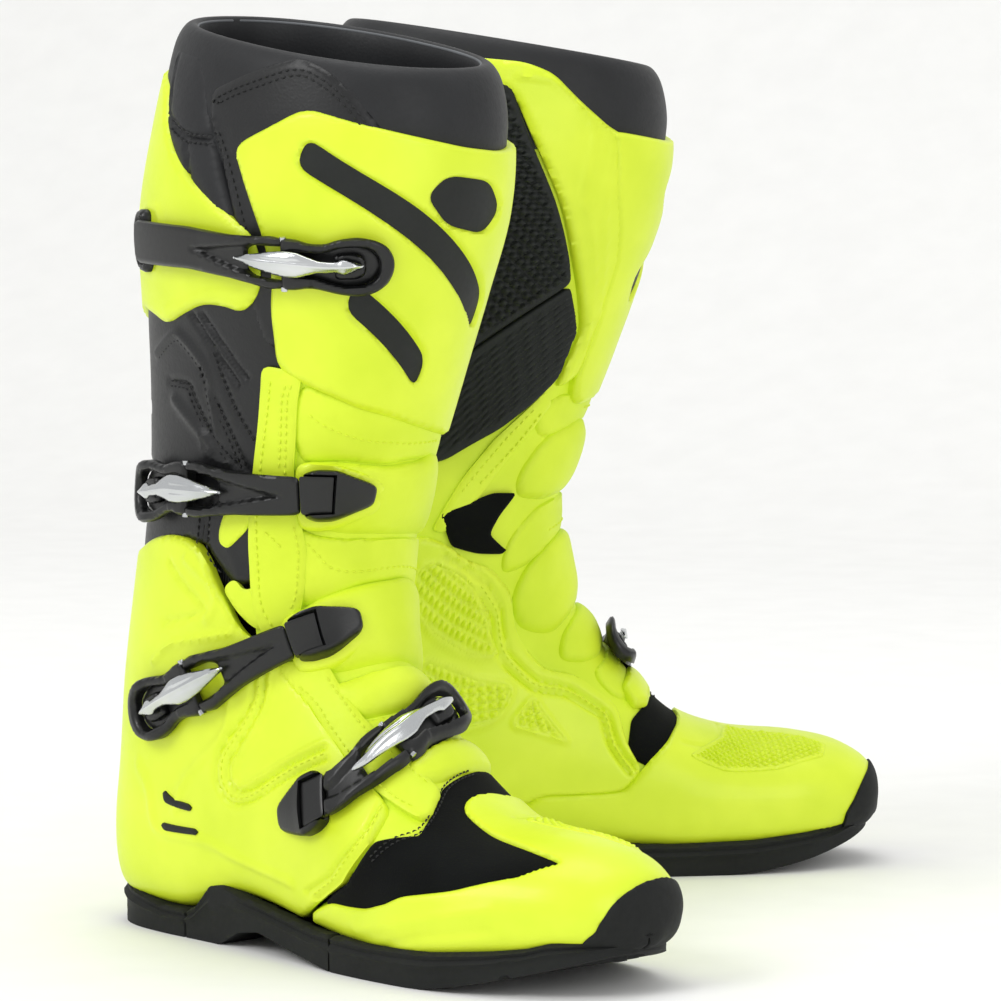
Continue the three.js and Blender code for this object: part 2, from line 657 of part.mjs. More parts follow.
function turn(v, left) {
  const o = place([0, 0, 0], left);
  return place(v, left).map((x, i) => x - o[i]);
}

function toMesh(name, solid, left, look) {
  const mesh = biggestBody(solid).getMesh();
  const n = mesh.vertProperties.length / mesh.numProp;
  const verts = new Float32Array(n * 3);
  for (let i = 0; i < n; i += 1) {
    const k = i * mesh.numProp;
    const p = place([mesh.vertProperties[k], mesh.vertProperties[k + 1], mesh.vertProperties[k + 2]], left);
    verts.set(p, i * 3);
  }
  const tri = Uint32Array.from(mesh.triVerts);
  if (left) {
    for (let i = 0; i < tri.length; i += 3) {
      const t = tri[i];
      tri[i] = tri[i + 1];
      tri[i + 1] = t;
    }
  }
  const geometry = new THREE.BufferGeometry();
  geometry.setAttribute('position', new THREE.BufferAttribute(verts, 3));
  geometry.setIndex(new THREE.BufferAttribute(tri, 1));
  geometry.computeVertexNormals();
  const out = new THREE.Mesh(geometry, new THREE.MeshStandardMaterial(look));
  out.name = name;
  return out;
}

const { parts, joints } = bootParts();
const group = new THREE.Group();
group.name = 'riding_boots';
for (const side of ['right', 'left']) {
  for (const [name, solid] of Object.entries(parts)) {
    group.add(toMesh(`${side}_${name}`, solid, side === 'left', lookFor(name)));
  }
}

// the pair's middle on the ground goes to the origin
const box = new THREE.Box3().setFromObject(group);
const shift = [-(box.min.x + box.max.x) / 2, -(box.min.y + box.max.y) / 2, -box.min.z];
for (const mesh of group.children) mesh.geometry.translate(...shift);
for (const mesh of group.children) {
  const left = mesh.name.startsWith('left_');
  const key = mesh.name.replace(/^(left|right)_/, '');
  const joint = key === 'collar' ? joints.ankle : joints[key];
  if (joint) {
    mesh.userData.pos = place(joint.pos, left).map((v, i) => v + shift[i]);
    mesh.userData.axis = turn(joint.axis, left);
  }
}

export default group;
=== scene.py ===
"""A pair of tall off-road riding boots: fluorescent yellow armour over black leather and suede.

Every shape is drawn once for the right boot, in millimetres about its own ankle (x forward,
y to the inner side, z up), on one smooth body surface with two parameters: s runs from the toe
tip (0) to the collar (480) and th goes round the boot in degrees (0 front, 90 outer side,
180 back, -90 inner side).  The left boot is its mirror image.
"""
import json
import math

import bpy
import numpy as np
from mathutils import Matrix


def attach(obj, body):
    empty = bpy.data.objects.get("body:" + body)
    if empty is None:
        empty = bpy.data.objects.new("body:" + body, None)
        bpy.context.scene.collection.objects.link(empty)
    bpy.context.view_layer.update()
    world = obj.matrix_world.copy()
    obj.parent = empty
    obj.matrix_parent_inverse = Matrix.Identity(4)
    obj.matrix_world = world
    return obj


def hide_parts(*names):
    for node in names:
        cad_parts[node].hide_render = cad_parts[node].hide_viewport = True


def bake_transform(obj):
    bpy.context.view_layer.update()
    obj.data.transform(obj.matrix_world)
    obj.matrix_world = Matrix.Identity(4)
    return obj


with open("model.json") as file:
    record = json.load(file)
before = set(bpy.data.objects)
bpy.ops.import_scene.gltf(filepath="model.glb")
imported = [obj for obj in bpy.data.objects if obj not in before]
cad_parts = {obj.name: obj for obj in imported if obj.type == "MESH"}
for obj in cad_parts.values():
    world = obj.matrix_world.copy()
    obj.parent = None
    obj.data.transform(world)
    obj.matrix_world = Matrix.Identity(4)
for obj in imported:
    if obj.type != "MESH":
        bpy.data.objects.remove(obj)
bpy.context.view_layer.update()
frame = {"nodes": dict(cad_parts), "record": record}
MM = 0.001
JOINTS = {j["name"]: j for j in frame["record"]["behaviour"]["joints"]}

# ------------------------------------------------------------------ the body surface
# s, front (x, z), back (x, z), half width, place of the widest point, front and back
# roundness, shift towards the inner side
STATIONS = np.array([
    (0, 220, 27, 220, 22, 4, .50, 2.0, 2.0, 9),
    (12, 217, 43, 211, 18, 22, .55, 2.0, 3.0, 9),
    (30, 204, 54, 198, 16, 34, .60, 2.1, 3.5, 8),
    (55, 182, 60, 178, 11, 43, .58, 2.1, 4.0, 6),
    (85, 150, 63, 152, 8, 50, .59, 2.1, 4.0, 2),
    (115, 126, 71, 128, 7, 52, .60, 2.0, 4.0, 0),
    (145, 109, 85, 100, 8, 50, .63, 2.0, 4.0, 0),
    (170, 96, 100, 62, 13, 47, .64, 2.0, 4.0, 0),
    (190, 86, 114, 20, 18, 45, .62, 2.0, 3.8, 0),
    (210, 78, 127, -30, 9, 45, .54, 2.0, 4.6, 0),
    (225, 73, 140, -68, 13, 45, .51, 2.1, 4.2, 0),
    (240, 71, 153, -80, 50, 47, .50, 2.2, 2.8, 0),
    (260, 71, 168, -77, 103, 50, .50, 2.2, 2.3, 0),
    (280, 74, 185, -69, 145, 52, .50, 2.2, 2.2, 0),
    (305, 82, 210, -62, 186, 52, .50, 2.2, 2.2, 0),
    (335, 94, 242, -59, 228, 55, .50, 2.2, 2.2, 0),
    (370, 107, 277, -58, 270, 60, .50, 2.2, 2.2, 0),
    (410, 118, 312, -55, 313, 65, .50, 2.2, 2.2, 0),
    (450, 121, 342, -44, 355, 64, .50, 2.2, 2.2, 0),
    (480, 117, 369, -34, 393, 60, .50, 2.2, 2.2, 0)], float)


def sections(s):
    """Monotone cubic through the stations: each column of STATIONS at s."""
    knots, values = STATIONS[:, 0], STATIONS[:, 1:]
    k = np.clip(np.searchsorted(knots, s, side="right") - 1, 0, len(knots) - 2)
    h = knots[k + 1] - knots[k]
    t = ((s - knots[k]) / h)[..., None]
    slope = np.diff(values, axis=0) / np.diff(knots)[:, None]
    m = np.zeros_like(values)
    m[1:-1] = (slope[1:] + slope[:-1]) / 2
    m[0], m[-1] = slope[0], slope[-1]
    limit = 3 * np.minimum(abs(slope[1:]), abs(slope[:-1]))
    flat = slope[1:] * slope[:-1] <= 0
    m[1:-1] = np.where(flat, 0, np.sign(m[1:-1]) * np.minimum(abs(m[1:-1]), limit))
    a, b = values[k], values[k + 1]
    ma, mb = m[k] * h[..., None], m[k + 1] * h[..., None]
    return ((2 * t**3 - 3 * t**2 + 1) * a + (t**3 - 2 * t**2 + t) * ma
            + (3 * t**2 - 2 * t**3) * b + (t**3 - t**2) * mb)


BODY_IN = 4.2       # the stations trace the armour; the surface under it is this far in


def body(s, th, off=0.0):
    """Superellipse section at s, cut at angle th and pushed out by off, in millimetres."""
    s, th, off = np.broadcast_arrays(*(np.asarray(v, float) for v in (s, th, off - BODY_IN)))
    xf, zf, xb, zb, w, m, nf, nb, yc = np.moveaxis(sections(s), -1, 0)
    length = np.hypot(xf - xb, zf - zb)
    fx, fz = (xf - xb) / length, (zf - zb) / length
    c, sn = np.cos(np.radians(th)), np.sin(np.radians(th))
    n = np.where(c >= 0, nf, nb)
    reach = np.where(c >= 0, m * length, (1 - m) * length) + off
    r = (abs(c) ** n + abs(sn) ** n) ** (-1 / n)
    a = r * c * reach - m * length
    return np.stack([xf + fx * a, yc - r * sn * (w + off), zf + fz * a], -1)


def ribs(s, th):
    """Height, 0 to 1, of the bulges over the front of the ankle, as on the CAD flex panel."""
    def bump(a, b):
        t = np.clip((s - a) / (b - a), 0, 1)
        return np.sin(np.pi * t) ** 2
    front = np.maximum(0, np.cos(np.radians(np.minimum(abs(th) * 1.2, 90))))
    return (bump(264, 335) + bump(206, 264) + 0.8 * bump(160, 206)) * front


# ------------------------------------------------------------------ outlines
def rounded(points, corner=0.0, pitch=2.0):
    """Closed outline of straight runs; each corner is replaced by a quadratic arc that starts
    `corner` before it (at most 45% of a run)."""
    p = np.asarray(points, float)
    out = []
    for i in range(len(p)):
        a, b, c = p[i - 1], p[i], p[(i + 1) % len(p)]
        la, lc = np.linalg.norm(a - b), np.linalg.norm(c - b)
        ra, rc = min(corner, la * .45), min(corner, lc * .45)
        start, stop = b + (a - b) * ra / max(la, 1e-9), b + (c - b) * rc / max(lc, 1e-9)
        t = np.linspace(0, 1, 5 if corner > 0 else 1)[:, None]
        out.append((1 - t)**2 * start + 2 * t * (1 - t) * b + t**2 * stop)
    return resampled(np.concatenate(out), pitch)


def resampled(points, pitch):
    """Closed polyline cut into equal short pieces, keeping its corners."""
    q = np.vstack([points, points[:1]])
    out = []
    for a, b in zip(q[:-1], q[1:]):
        n = max(1, int(np.ceil(np.linalg.norm(b - a) / pitch)))
        out.append(a + (b - a) * (np.arange(n) / n)[:, None])
    return np.concatenate(out)


def flow(points, n=60):
    """Open Catmull-Rom curve through the points."""
    p = np.asarray(points, float)
    if len(p) == 2:
        return p[0] + (p[1] - p[0]) * np.linspace(0, 1, n)[:, None]
    q = np.vstack([2 * p[0] - p[1], p, 2 * p[-1] - p[-2]])
    t = np.linspace(0, len(p) - 1 - 1e-9, n)
    k = t.astype(int)
    f = (t - k)[:, None]
    a, b, c, d = q[k], q[k + 1], q[k + 2], q[k + 3]
    return .5 * (2 * b + (c - a) * f + (2*a - 5*b + 4*c - d) * f**2 + (3*b - a - 3*c + d) * f**3)


def contains(outline, points):
    """Even-odd rule for many points at once."""
    x, y = points[:, 0][:, None], points[:, 1][:, None]
    x0, y0 = outline.T
    x1, y1 = np.roll(outline, -1, 0).T
    hits = (y0 > y) != (y1 > y)
    with np.errstate(divide="ignore", invalid="ignore"):
        cross = x < (x1 - x0) * (y - y0) / (y1 - y0) + x0
    return (hits & cross).sum(1) % 2 == 1


def nearest(points, a, b):
    """Distance from each point to the nearest of the segments a-b, that segment and the place on it."""
    best = np.full(len(points), 1e9)
    which = np.zeros(len(points), int)
    place = np.zeros(len(points))
    ab = b - a
    length2 = np.maximum((ab**2).sum(1), 1e-12)
    for lo in range(0, len(points), 4000):
        p = points[lo:lo + 4000]
        t = np.clip(((p[:, None] - a) * ab).sum(2) / length2, 0, 1)
        d = ((a + ab * t[..., None] - p[:, None])**2).sum(2)
        k = d.argmin(1)
        rows = np.arange(len(p))
        best[lo:lo + 4000] = np.sqrt(d[rows, k])
        which[lo:lo + 4000] = k
        place[lo:lo + 4000] = t[rows, k]
    return best, which, place


def distance_to(path, chart, points):
    """Distance in millimetres from points in space to an open path drawn in a chart."""
    q = chart(path[:, 0], path[:, 1], 0.0)
    return nearest(points, q[:-1], q[1:])[0]


# ------------------------------------------------------------------ the patch: every moulded or sewn piece
def patch(chart, outline, step, top, bottom, holes=(), scale=(1.0, 1.0), rows=2, bulge=None):
    """Closed piece over a chart(u, v, off).  A grid of (u, v) is kept inside the outline and its
    rim is moved onto the outline; the face stands at top(u, v, d) and the back at bottom(u, v),
    where d is the distance in from the rim.  scale is millimetres per unit of u and v.
    Returns vertices, quads and the chart place of every vertex in millimetres."""
    loops = [outline] + [np.asarray(h, float) for h in holes]
    lo, hi = outline.min(0), outline.max(0)
    hu, hv = step / scale[0], step / scale[1]
    u = np.arange(lo[0] - hu, hi[0] + 2 * hu, hu)
    v = np.arange(lo[1] - hv, hi[1] + 2 * hv, hv)
    grid = np.stack(np.meshgrid(u, v, indexing="ij"), -1)
    flat = grid.reshape(-1, 2)
    inside = contains(outline, flat)
    for hole in loops[1:]:
        inside &= ~contains(hole, flat)
    a2 = np.vstack(loops)
    b2 = np.vstack([np.roll(q, -1, 0) for q in loops])
    a3, b3 = chart(a2[:, 0], a2[:, 1], 0.0), chart(b2[:, 0], b2[:, 1], 0.0)
    space = chart(flat[:, 0], flat[:, 1], 0.0)
    dist, seg, place = nearest(space, a3, b3)
    signed = np.where(inside, dist, -dist).reshape(grid.shape[:2])
    mean = (signed[:-1, :-1] + signed[1:, :-1] + signed[1:, 1:] + signed[:-1, 1:]) / 4
    keep = mean > 0
    for _ in range(3):      # no two cells may meet at a corner only
        a, b, c, d = keep[:-1, :-1], keep[1:, :-1], keep[1:, 1:], keep[:-1, 1:]
        pinch1, pinch2 = a & c & ~b & ~d, b & d & ~a & ~c
        keep[1:, :-1] |= pinch1
        keep[:-1, :-1] |= pinch2
    nu, nv = grid.shape[:2]
    index = np.arange(nu * nv).reshape(nu, nv)
    quads = np.stack([index[:-1, :-1], index[1:, :-1], index[1:, 1:], index[:-1, 1:]], -1)[keep]
    used, quads = np.unique(quads, return_inverse=True)
    quads = quads.reshape(-1, 4)
    uv = flat[used].copy()
    depth = np.maximum(signed.reshape(-1)[used], 0.0)
    edges = np.stack([quads, np.roll(quads, -1, 1)], -1).reshape(-1, 2)
    key = edges.min(1) * len(used) + edges.max(1)
    _, first, count = np.unique(key, return_index=True, return_counts=True)
    rim = edges[first[count == 1]]
    on_rim = np.unique(rim)
    k, t = seg[used[on_rim]], place[used[on_rim]][:, None]
    uv[on_rim] = a2[k] * (1 - t) + b2[k] * t
    depth[on_rim] = 0.0
    back = bottom(uv[:, 0], uv[:, 1]) if callable(bottom) else np.full(len(uv), float(bottom))
    face = top(uv[:, 0], uv[:, 1], depth)
    verts = [chart(uv[:, 0], uv[:, 1], face), chart(uv[:, 0], uv[:, 1], back)]
    places = [uv, uv]
    n = len(uv)
    faces = [quads, quads[:, ::-1] + n]
    rows_of = {}
    order = np.full(n, -1)
    order[on_rim] = np.arange(len(on_rim))
    away = uv[on_rim] - _inner(uv, rim, on_rim, order)
    for r in range(1, rows):
        f = r / rows
        out = bulge(f) if bulge else 0.0
        moved = uv[on_rim] + away * out
        height = face[on_rim] * (1 - f) + back[on_rim] * f
        rows_of[r] = 2 * n + (r - 1) * len(on_rim) + np.arange(len(on_rim))
        verts.append(chart(moved[:, 0], moved[:, 1], height))
        places.append(uv[on_rim])
    levels = [on_rim] + [rows_of[r] for r in range(1, rows)] + [on_rim + n]
    ra, rb = order[rim[:, 0]], order[rim[:, 1]]
    for upper, lower in zip(levels[:-1], levels[1:]):
        faces.append(np.stack([upper[rb], upper[ra], lower[ra], lower[rb]], -1))
    verts, faces = np.concatenate(verts), np.concatenate(faces)
    places = np.concatenate(places) * np.array(scale)
    return verts, faces_out(verts, faces), places


def _inner(uv, rim, on_rim, order):
    """Unit step in the chart pointing into the piece at each rim vertex, from its rim edges."""
    direction = np.zeros((len(on_rim), 2))
    run = uv[rim[:, 1]] - uv[rim[:, 0]]
    normal = np.stack([-run[:, 1], run[:, 0]], -1)
    np.add.at(direction, order[rim[:, 0]], normal)
    np.add.at(direction, order[rim[:, 1]], normal)
    length = np.linalg.norm(direction, axis=1, keepdims=True)
    return uv[on_rim] + direction / np.maximum(length, 1e-9)


def volume(verts, faces):
    a, b, c, d = (verts[faces[:, i]] for i in range(4))
    return float((np.einsum("ij,ij->i", a, np.cross(b, c)).sum()
                  + np.einsum("ij,ij->i", a, np.cross(c, d)).sum()) / 6)


def faces_out(verts, faces):
    """Quads turned so that they point out of the closed piece."""
    centred = verts - verts.mean(0)
    return faces if volume(centred, faces) > 0 else faces[:, ::-1]


def soft_edge(height, radius, plump=0.0, spread=12.0):
    """Face height with a rounded rim; plump adds a pillow that rises over `spread` mm."""
    def top(u, v, d):
        t = 1 - np.clip(d / radius, 0, 1)
        h = height(u, v) if callable(height) else height
        return h - radius * (1 - np.sqrt(np.maximum(1 - t * t, 0))) + plump * (1 - np.exp(-d / spread))
    return top


def with_lines(top, chart, lines):
    """Adds grooves (negative) or ribs (positive) of a given height and half width along paths."""
    def carved(u, v, d):
        h = top(u, v, d)
        points = chart(u, v, 0.0)
        for path, height, half in lines:
            h = h + height * np.exp(-(distance_to(path, chart, points) / half) ** 2)
        return h
    return carved


def wrap(u, v, off):
    """Chart of the boot body: u is the angle th, v is s."""
    return body(v, u, off)


WRAP = (1.08, 1.0)          # millimetres per degree round the shaft, and along it


def turned(points):
    """(s, th) pairs, as the outlines are written, to the chart's (th, s)."""
    return np.asarray(points, float)[:, ::-1]


def height_on(points, top, corner=3.0):
    """Height function of (th, s) for sewing on a panel made with the same outline and face."""
    outline = rounded(turned(points), corner)
    a, b = wrap(*outline.T, 0.0), wrap(*np.roll(outline, -1, 0).T, 0.0)

    def height(u, v):
        d = nearest(wrap(u.ravel(), v.ravel(), 0.0), a, b)[0]
        return top(u.ravel(), v.ravel(), d).reshape(u.shape)
    return height


def panel(points, top, bottom, step=1.6, corner=3.0, lines=(), holes=(), rows=2):
    """A piece on the boot body with an outline of (s, th) points."""
    carved = with_lines(top, wrap, [(turned(flow(p)), h, w) for p, h, w in lines]) if lines else top
    cut = [rounded(turned(h), corner) for h in holes]
    return patch(wrap, rounded(turned(points), corner), step, carved, bottom, cut, WRAP, rows)


# ------------------------------------------------------------------ other shapes
def tube(path, radius, sides=8, chart=wrap, off=0.0):
    """Closed round bead along an open path in a chart; ends shut with points."""
    p = chart(path[:, 0], path[:, 1], off)
    tangent = np.gradient(p, axis=0)
    tangent /= np.linalg.norm(tangent, axis=1, keepdims=True)
    normal = chart(path[:, 0], path[:, 1], off + 1.0) - p
    normal -= tangent * (normal * tangent).sum(1, keepdims=True)
    normal /= np.linalg.norm(normal, axis=1, keepdims=True)
    side = np.cross(tangent, normal)
    angle = np.linspace(0, 2 * np.pi, sides, endpoint=False)
    size = np.full(len(p), float(radius))
    size[0] = size[-1] = radius * .05
    ring = (normal[:, None] * np.cos(angle)[None, :, None]
            + side[:, None] * np.sin(angle)[None, :, None]) * size[:, None, None]
    verts = (p[:, None] + ring).reshape(-1, 3)
    i, j = np.meshgrid(np.arange(len(p) - 1), np.arange(sides), indexing="ij")
    k = (j + 1) % sides
    faces = np.stack([i * sides + j, i * sides + k, (i + 1) * sides + k, (i + 1) * sides + j],
                     -1).reshape(-1, 4)
    faces = np.vstack([faces, np.array(_fan_quads(0, sides, True) + _fan_quads((len(p) - 1) * sides, sides,
                                                                               False))])
    uv = np.repeat(np.linspace(0, 1, len(p)), sides)
    return verts, faces_out(verts, faces), np.stack([uv, uv], -1) * 10


def _fan_quads(base, sides, flip):
    """Quads that shut a ring with an even number of sides."""
    quads = []
    for q in range(sides // 2 - 1):
        ids = [base + q, base + q + 1, base + (sides - 2 - q), base + (sides - 1 - q)]
        quads.append(ids[::-1] if flip else ids)
    return quads


def stitches(paths, pitch=3.4, length=2.5, radius=.42, chart=wrap, off=0.0):
    """Short thread runs along paths of a chart: each is a six-sided bead, five rings long, whose
    middle stands proud and whose ends dip into the material."""
    all_verts, all_faces = [], []
    for path in paths:
        p3 = chart(path[:, 0], path[:, 1], 2.0)
        run = np.concatenate([[0], np.cumsum(np.linalg.norm(np.diff(p3, axis=0), axis=1))])
        starts = np.arange(pitch * .5, run[-1] - length, pitch)
        if not len(starts):
            continue
        t = starts[:, None] + np.linspace(0, length, 5)[None]
        uv = np.stack([np.interp(t, run, path[:, 0]), np.interp(t, run, path[:, 1])], -1)
        base_off = off(uv[..., 0], uv[..., 1]) if callable(off) else off
        lift = base_off + radius * np.array([-.7, .35, .6, .35, -.7])[None]
        p = chart(uv[..., 0], uv[..., 1], lift)
        normal = chart(uv[..., 0], uv[..., 1], lift + 1) - p
        normal /= np.linalg.norm(normal, axis=-1, keepdims=True)
        tangent = p[:, -1:] - p[:, :1]
        tangent = tangent / np.linalg.norm(tangent, axis=-1, keepdims=True)
        side = np.cross(np.broadcast_to(tangent, normal.shape), normal)
        angle = np.linspace(0, 2 * np.pi, 6, endpoint=False)
        size = radius * np.array([.35, .95, 1, .95, .35])[None, :, None, None]
        ring = (normal[:, :, None] * np.cos(angle)[:, None] + side[:, :, None] * np.sin(angle)[:,
                                                                                               None]) * size
        verts = (p[:, :, None] + ring).reshape(len(starts), -1, 3)
        i, j = np.meshgrid(np.arange(4), np.arange(6), indexing="ij")
        k = (j + 1) % 6
        one = np.stack([i * 6 + j, i * 6 + k, (i + 1) * 6 + k, (i + 1) * 6 + j], -1).reshape(-1, 4)
        one = np.vstack([one, _fan_quads(0, 6, True), _fan_quads(24, 6, False)])
        one = faces_out(verts[0], one)
        base = sum(len(v) for v in all_verts)
        all_verts.append(verts.reshape(-1, 3))
        all_faces.append((one[None] + (base + 30 * np.arange(len(starts)))[:, None, None]).reshape(-1, 4))
    verts = np.concatenate(all_verts)
    return verts, np.concatenate(all_faces), np.zeros((len(verts), 2))


def joined(*shapes):
    """Several closed bodies in one mesh."""
    verts, faces, uvs, base = [], [], [], 0
    for v, f, uv in shapes:
        verts.append(v)
        faces.append(f + base)
        uvs.append(uv)
        base += len(v)
    return np.concatenate(verts), np.concatenate(faces), np.concatenate(uvs)


def lathe_band(profile, turns):
    """Closed profile of (s, off) points carried all the way round the boot."""
    th = np.linspace(-180, 180, turns, endpoint=False)
    profile = np.asarray(profile, float)
    n = len(profile)
    pts = body(profile[None, :, 0], th[:, None], profile[None, :, 1])
    i, j = np.meshgrid(np.arange(turns), np.arange(n), indexing="ij")
    a, b = (i + 1) % turns, (j + 1) % n
    faces = np.stack([i * n + j, i * n + b, a * n + b, a * n + j], -1).reshape(-1, 4)
    uv = np.stack(np.broadcast_arrays(th[:, None] * WRAP[0], np.arange(n)[None] * 2.0), -1)
    verts = pts.reshape(-1, 3)
    return verts, faces_out(verts, faces), uv.reshape(-1, 2)


# ------------------------------------------------------------------ both boots
def side_frame(side):
    """Ankle point, forward and inner-side directions of one boot in the row frame, in metres."""
    joint = JOINTS[f"{side}_ankle_flex"]
    ax, ay, _ = joint["axis"]
    inner = 1.0 if side == "right" else -1.0
    return np.array(joint["pos_m"][:2]), np.array([ay, -ax]), inner * np.array([ax, ay])


def placed(verts, side):
    """Points about the ankle in millimetres to the row frame in metres."""
    origin, forward, inner = side_frame(side)
    flat = origin + (verts[:, :1] * forward + verts[:, 1:2] * inner) * MM
    return np.concatenate([flat, verts[:, 2:] * MM], 1)


def make_mesh(name, verts, faces, places):
    """Smooth mesh of quads, sharp over 48 degrees, with its chart places as a UV layer."""
    mesh = bpy.data.meshes.new(name)
    mesh.vertices.add(len(verts))
    mesh.vertices.foreach_set("co", verts.astype(np.float32).ravel())
    mesh.loops.add(faces.size)
    mesh.loops.foreach_set("vertex_index", faces.astype(np.int32).ravel())
    mesh.polygons.add(len(faces))
    mesh.polygons.foreach_set("loop_start", np.arange(0, faces.size, 4, dtype=np.int32))
    mesh.update(calc_edges=True)
    layer = mesh.uv_layers.new(name="chart")
    layer.data.foreach_set("uv", (places[faces.ravel()] * .01).astype(np.float32).ravel())
    mesh.polygons.foreach_set("use_smooth", np.ones(len(faces), bool))
    mesh.set_sharp_from_angle(angle=math.radians(48))
    mesh.update()
    return mesh


def pair(name, shape, material, body_name, replaces=()):
    """One piece on each boot, riding on its body; body_name "flex" is left unattached, with its transform
    baked in.
    """
    verts, faces, places = shape
    made = []
    for side in ("right", "left"):
        turned_faces = faces if side == "right" else faces[:, ::-1]
        mesh = make_mesh(f"{side}_{name}", placed(verts, side), turned_faces, places)
        obj = bpy.data.objects.new(f"{side}_{name}", mesh)
        bpy.context.scene.collection.objects.link(obj)
        mesh.materials.append(material)
        if body_name == "flex":
            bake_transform(obj)
        elif body_name == "feet":
            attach(obj, "feet")
        else:
            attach(obj, f"{side}_{body_name}")
        if replaces:
            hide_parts(*[f"{side}_{node}" for node in replaces])
        made.append(obj)
    return made


# ------------------------------------------------------------------ materials
def linear(code):
    """sRGB hex to linear RGBA."""
    rgb = [int(code[i:i + 2], 16) / 255 for i in (1, 3, 5)]
    return tuple(c / 12.92 if c <= .04045 else ((c + .055) / 1.055) ** 2.4 for c in rgb) + (1.0,)


def add(tree, kind, links=(), **settings):
    """A node with its settings; links are (input, output socket) pairs."""
    node = tree.nodes.new(kind)
    for key, value in settings.items():
        if hasattr(node, key):
            setattr(node, key, value)
        else:
            node.inputs[key.replace("_", " ")].default_value = value
    for name, source in links:
        tree.links.new(source, node.inputs[name])
    return node


def ramp_of(tree, source, stops):
    """Colour ramp over (place, colour) stops."""
    node = add(tree, "ShaderNodeValToRGB", [("Fac", source)])
    while len(node.color_ramp.elements) < len(stops):
        node.color_ramp.elements.new(.5)
    for element, (place, colour) in zip(node.color_ramp.elements, stops):
        element.position, element.color = place, colour
    return node.outputs["Color"]


def finish(name, base, dark, roughness, grain_mm, grain_depth, metallic=0.0, sheen=0.0, coat=0.0,
           pattern=None, blotch_mm=35.0, rough_spread=.08, specular=.5):
    """A surface with a grain of a real size, faint colour drift and uneven gloss.
    grain_mm is the cell size and grain_depth its height in millimetres."""
    material = bpy.data.materials.new(name)
    material.use_nodes = True
    tree = material.node_tree
    shader = tree.nodes["Principled BSDF"]
    where = add(tree, "ShaderNodeTexCoord").outputs["Object"]
    drift = add(tree, "ShaderNodeTexNoise", [("Vector", where)], Scale=1000 / blotch_mm, Detail=3.0)
    colour = ramp_of(tree, drift.outputs["Fac"], [(.3, linear(dark)), (.7, linear(base))])
    tree.links.new(colour, shader.inputs["Base Color"])
    fine = add(tree, "ShaderNodeTexNoise", [("Vector", where)], Scale=1000 / (grain_mm * 2), Detail=4.0)
    cells = add(tree, "ShaderNodeTexVoronoi", [("Vector", where)], Scale=1000 / grain_mm,
                feature="SMOOTH_F1")
    gloss = add(tree, "ShaderNodeMapRange", [("Value", fine.outputs["Fac"])])
    gloss.inputs["To Min"].default_value = roughness - rough_spread
    gloss.inputs["To Max"].default_value = roughness + rough_spread
    tree.links.new(gloss.outputs["Result"], shader.inputs["Roughness"])
    height = add(tree, "ShaderNodeMath", [(0, cells.outputs["Distance"])], operation="MULTIPLY")
    tree.links.new(fine.outputs["Fac"], height.inputs[1])
    bump = add(tree, "ShaderNodeBump", [("Height", height.outputs[0])], Strength=.9,
               Distance=grain_depth * MM)
    last = bump
    if pattern:
        extra = pattern(tree)
        last = add(tree, "ShaderNodeBump", [("Height", extra), ("Normal", bump.outputs[0])],
                   Strength=1.0, Distance=.5 * MM)
    tree.links.new(last.outputs[0], shader.inputs["Normal"])
    shader.inputs["Metallic"].default_value = metallic
    shader.inputs["Sheen Weight"].default_value = sheen
    shader.inputs["Coat Weight"].default_value = coat
    shader.inputs["Specular IOR Level"].default_value = specular
    return material


def waves(pitch_u, pitch_v):
    """Pattern of raised cells on the piece's own UV: the product of two sine waves, mm apart."""
    def build(tree):
        uv = add(tree, "ShaderNodeUVMap", uv_map="chart").outputs["UV"]
        axes = add(tree, "ShaderNodeSeparateXYZ", [("Vector", uv)])
        parts = []
        for axis, pitch in (("X", pitch_u), ("Y", pitch_v)):
            scaled = add(tree, "ShaderNodeMath", [(0, axes.outputs[axis])], operation="MULTIPLY")
            scaled.inputs[1].default_value = 100 * math.pi / pitch
            wave = add(tree, "ShaderNodeMath", [(0, scaled.outputs[0])], operation="SINE")
            size = add(tree, "ShaderNodeMath", [(0, wave.outputs[0])], operation="ABSOLUTE")
            parts.append(size.outputs[0])
        both = add(tree, "ShaderNodeMath", [(0, parts[0]), (1, parts[1])], operation="MULTIPLY")
        return both.outputs[0]
    return build


# thermoplastic polyurethane armour, injection moulded with a fine leather-like skin
YELLOW_TPU = finish("fluorescent_yellow_moulded_tpu", "#DFF233", "#D3E922", .42, 1.0, .05, coat=.06)
# microfibre leather over foam: softer, with a visible grain
YELLOW_LEATHER = finish("fluorescent_yellow_microfibre", "#DDF133", "#CFE61F", .55, 1.3, .10, sheen=.05)
# full-grain black leather, lightly waxed
BLACK_LEATHER = finish("black_grain_leather", "#131416", "#0C0D0E", .43, 1.2, .12, specular=.45)
# padded collar leather, paler where the light rolls over the foam
COLLAR_LEATHER = finish("charcoal_padded_leather", "#222325", "#17181A", .52, 1.2, .11, specular=.35)
# split suede: no gloss, a short nap
SUEDE = finish("black_suede", "#0E1010", "#060707", 1.0, .6, .20, sheen=.03, rough_spread=0, specular=.12)
# vulcanised sole rubber
SOLE_RUBBER = finish("vulcanised_black_rubber", "#191B1A", "#121413", .72, 1.5, .06, specular=.3)
# grip rubber: the moulded diamonds and ribs are real shapes, so this is only its dull skin
GRIP_RUBBER = finish("moulded_grip_rubber", "#161B18", "#101411", .62, 1.0, .05, specular=.35)
# flat black rubber inlay
GRIP_PLAIN = finish("black_rubber_inlay", "#1A1D1B", "#131614", .58, 1.2, .05, specular=.35)
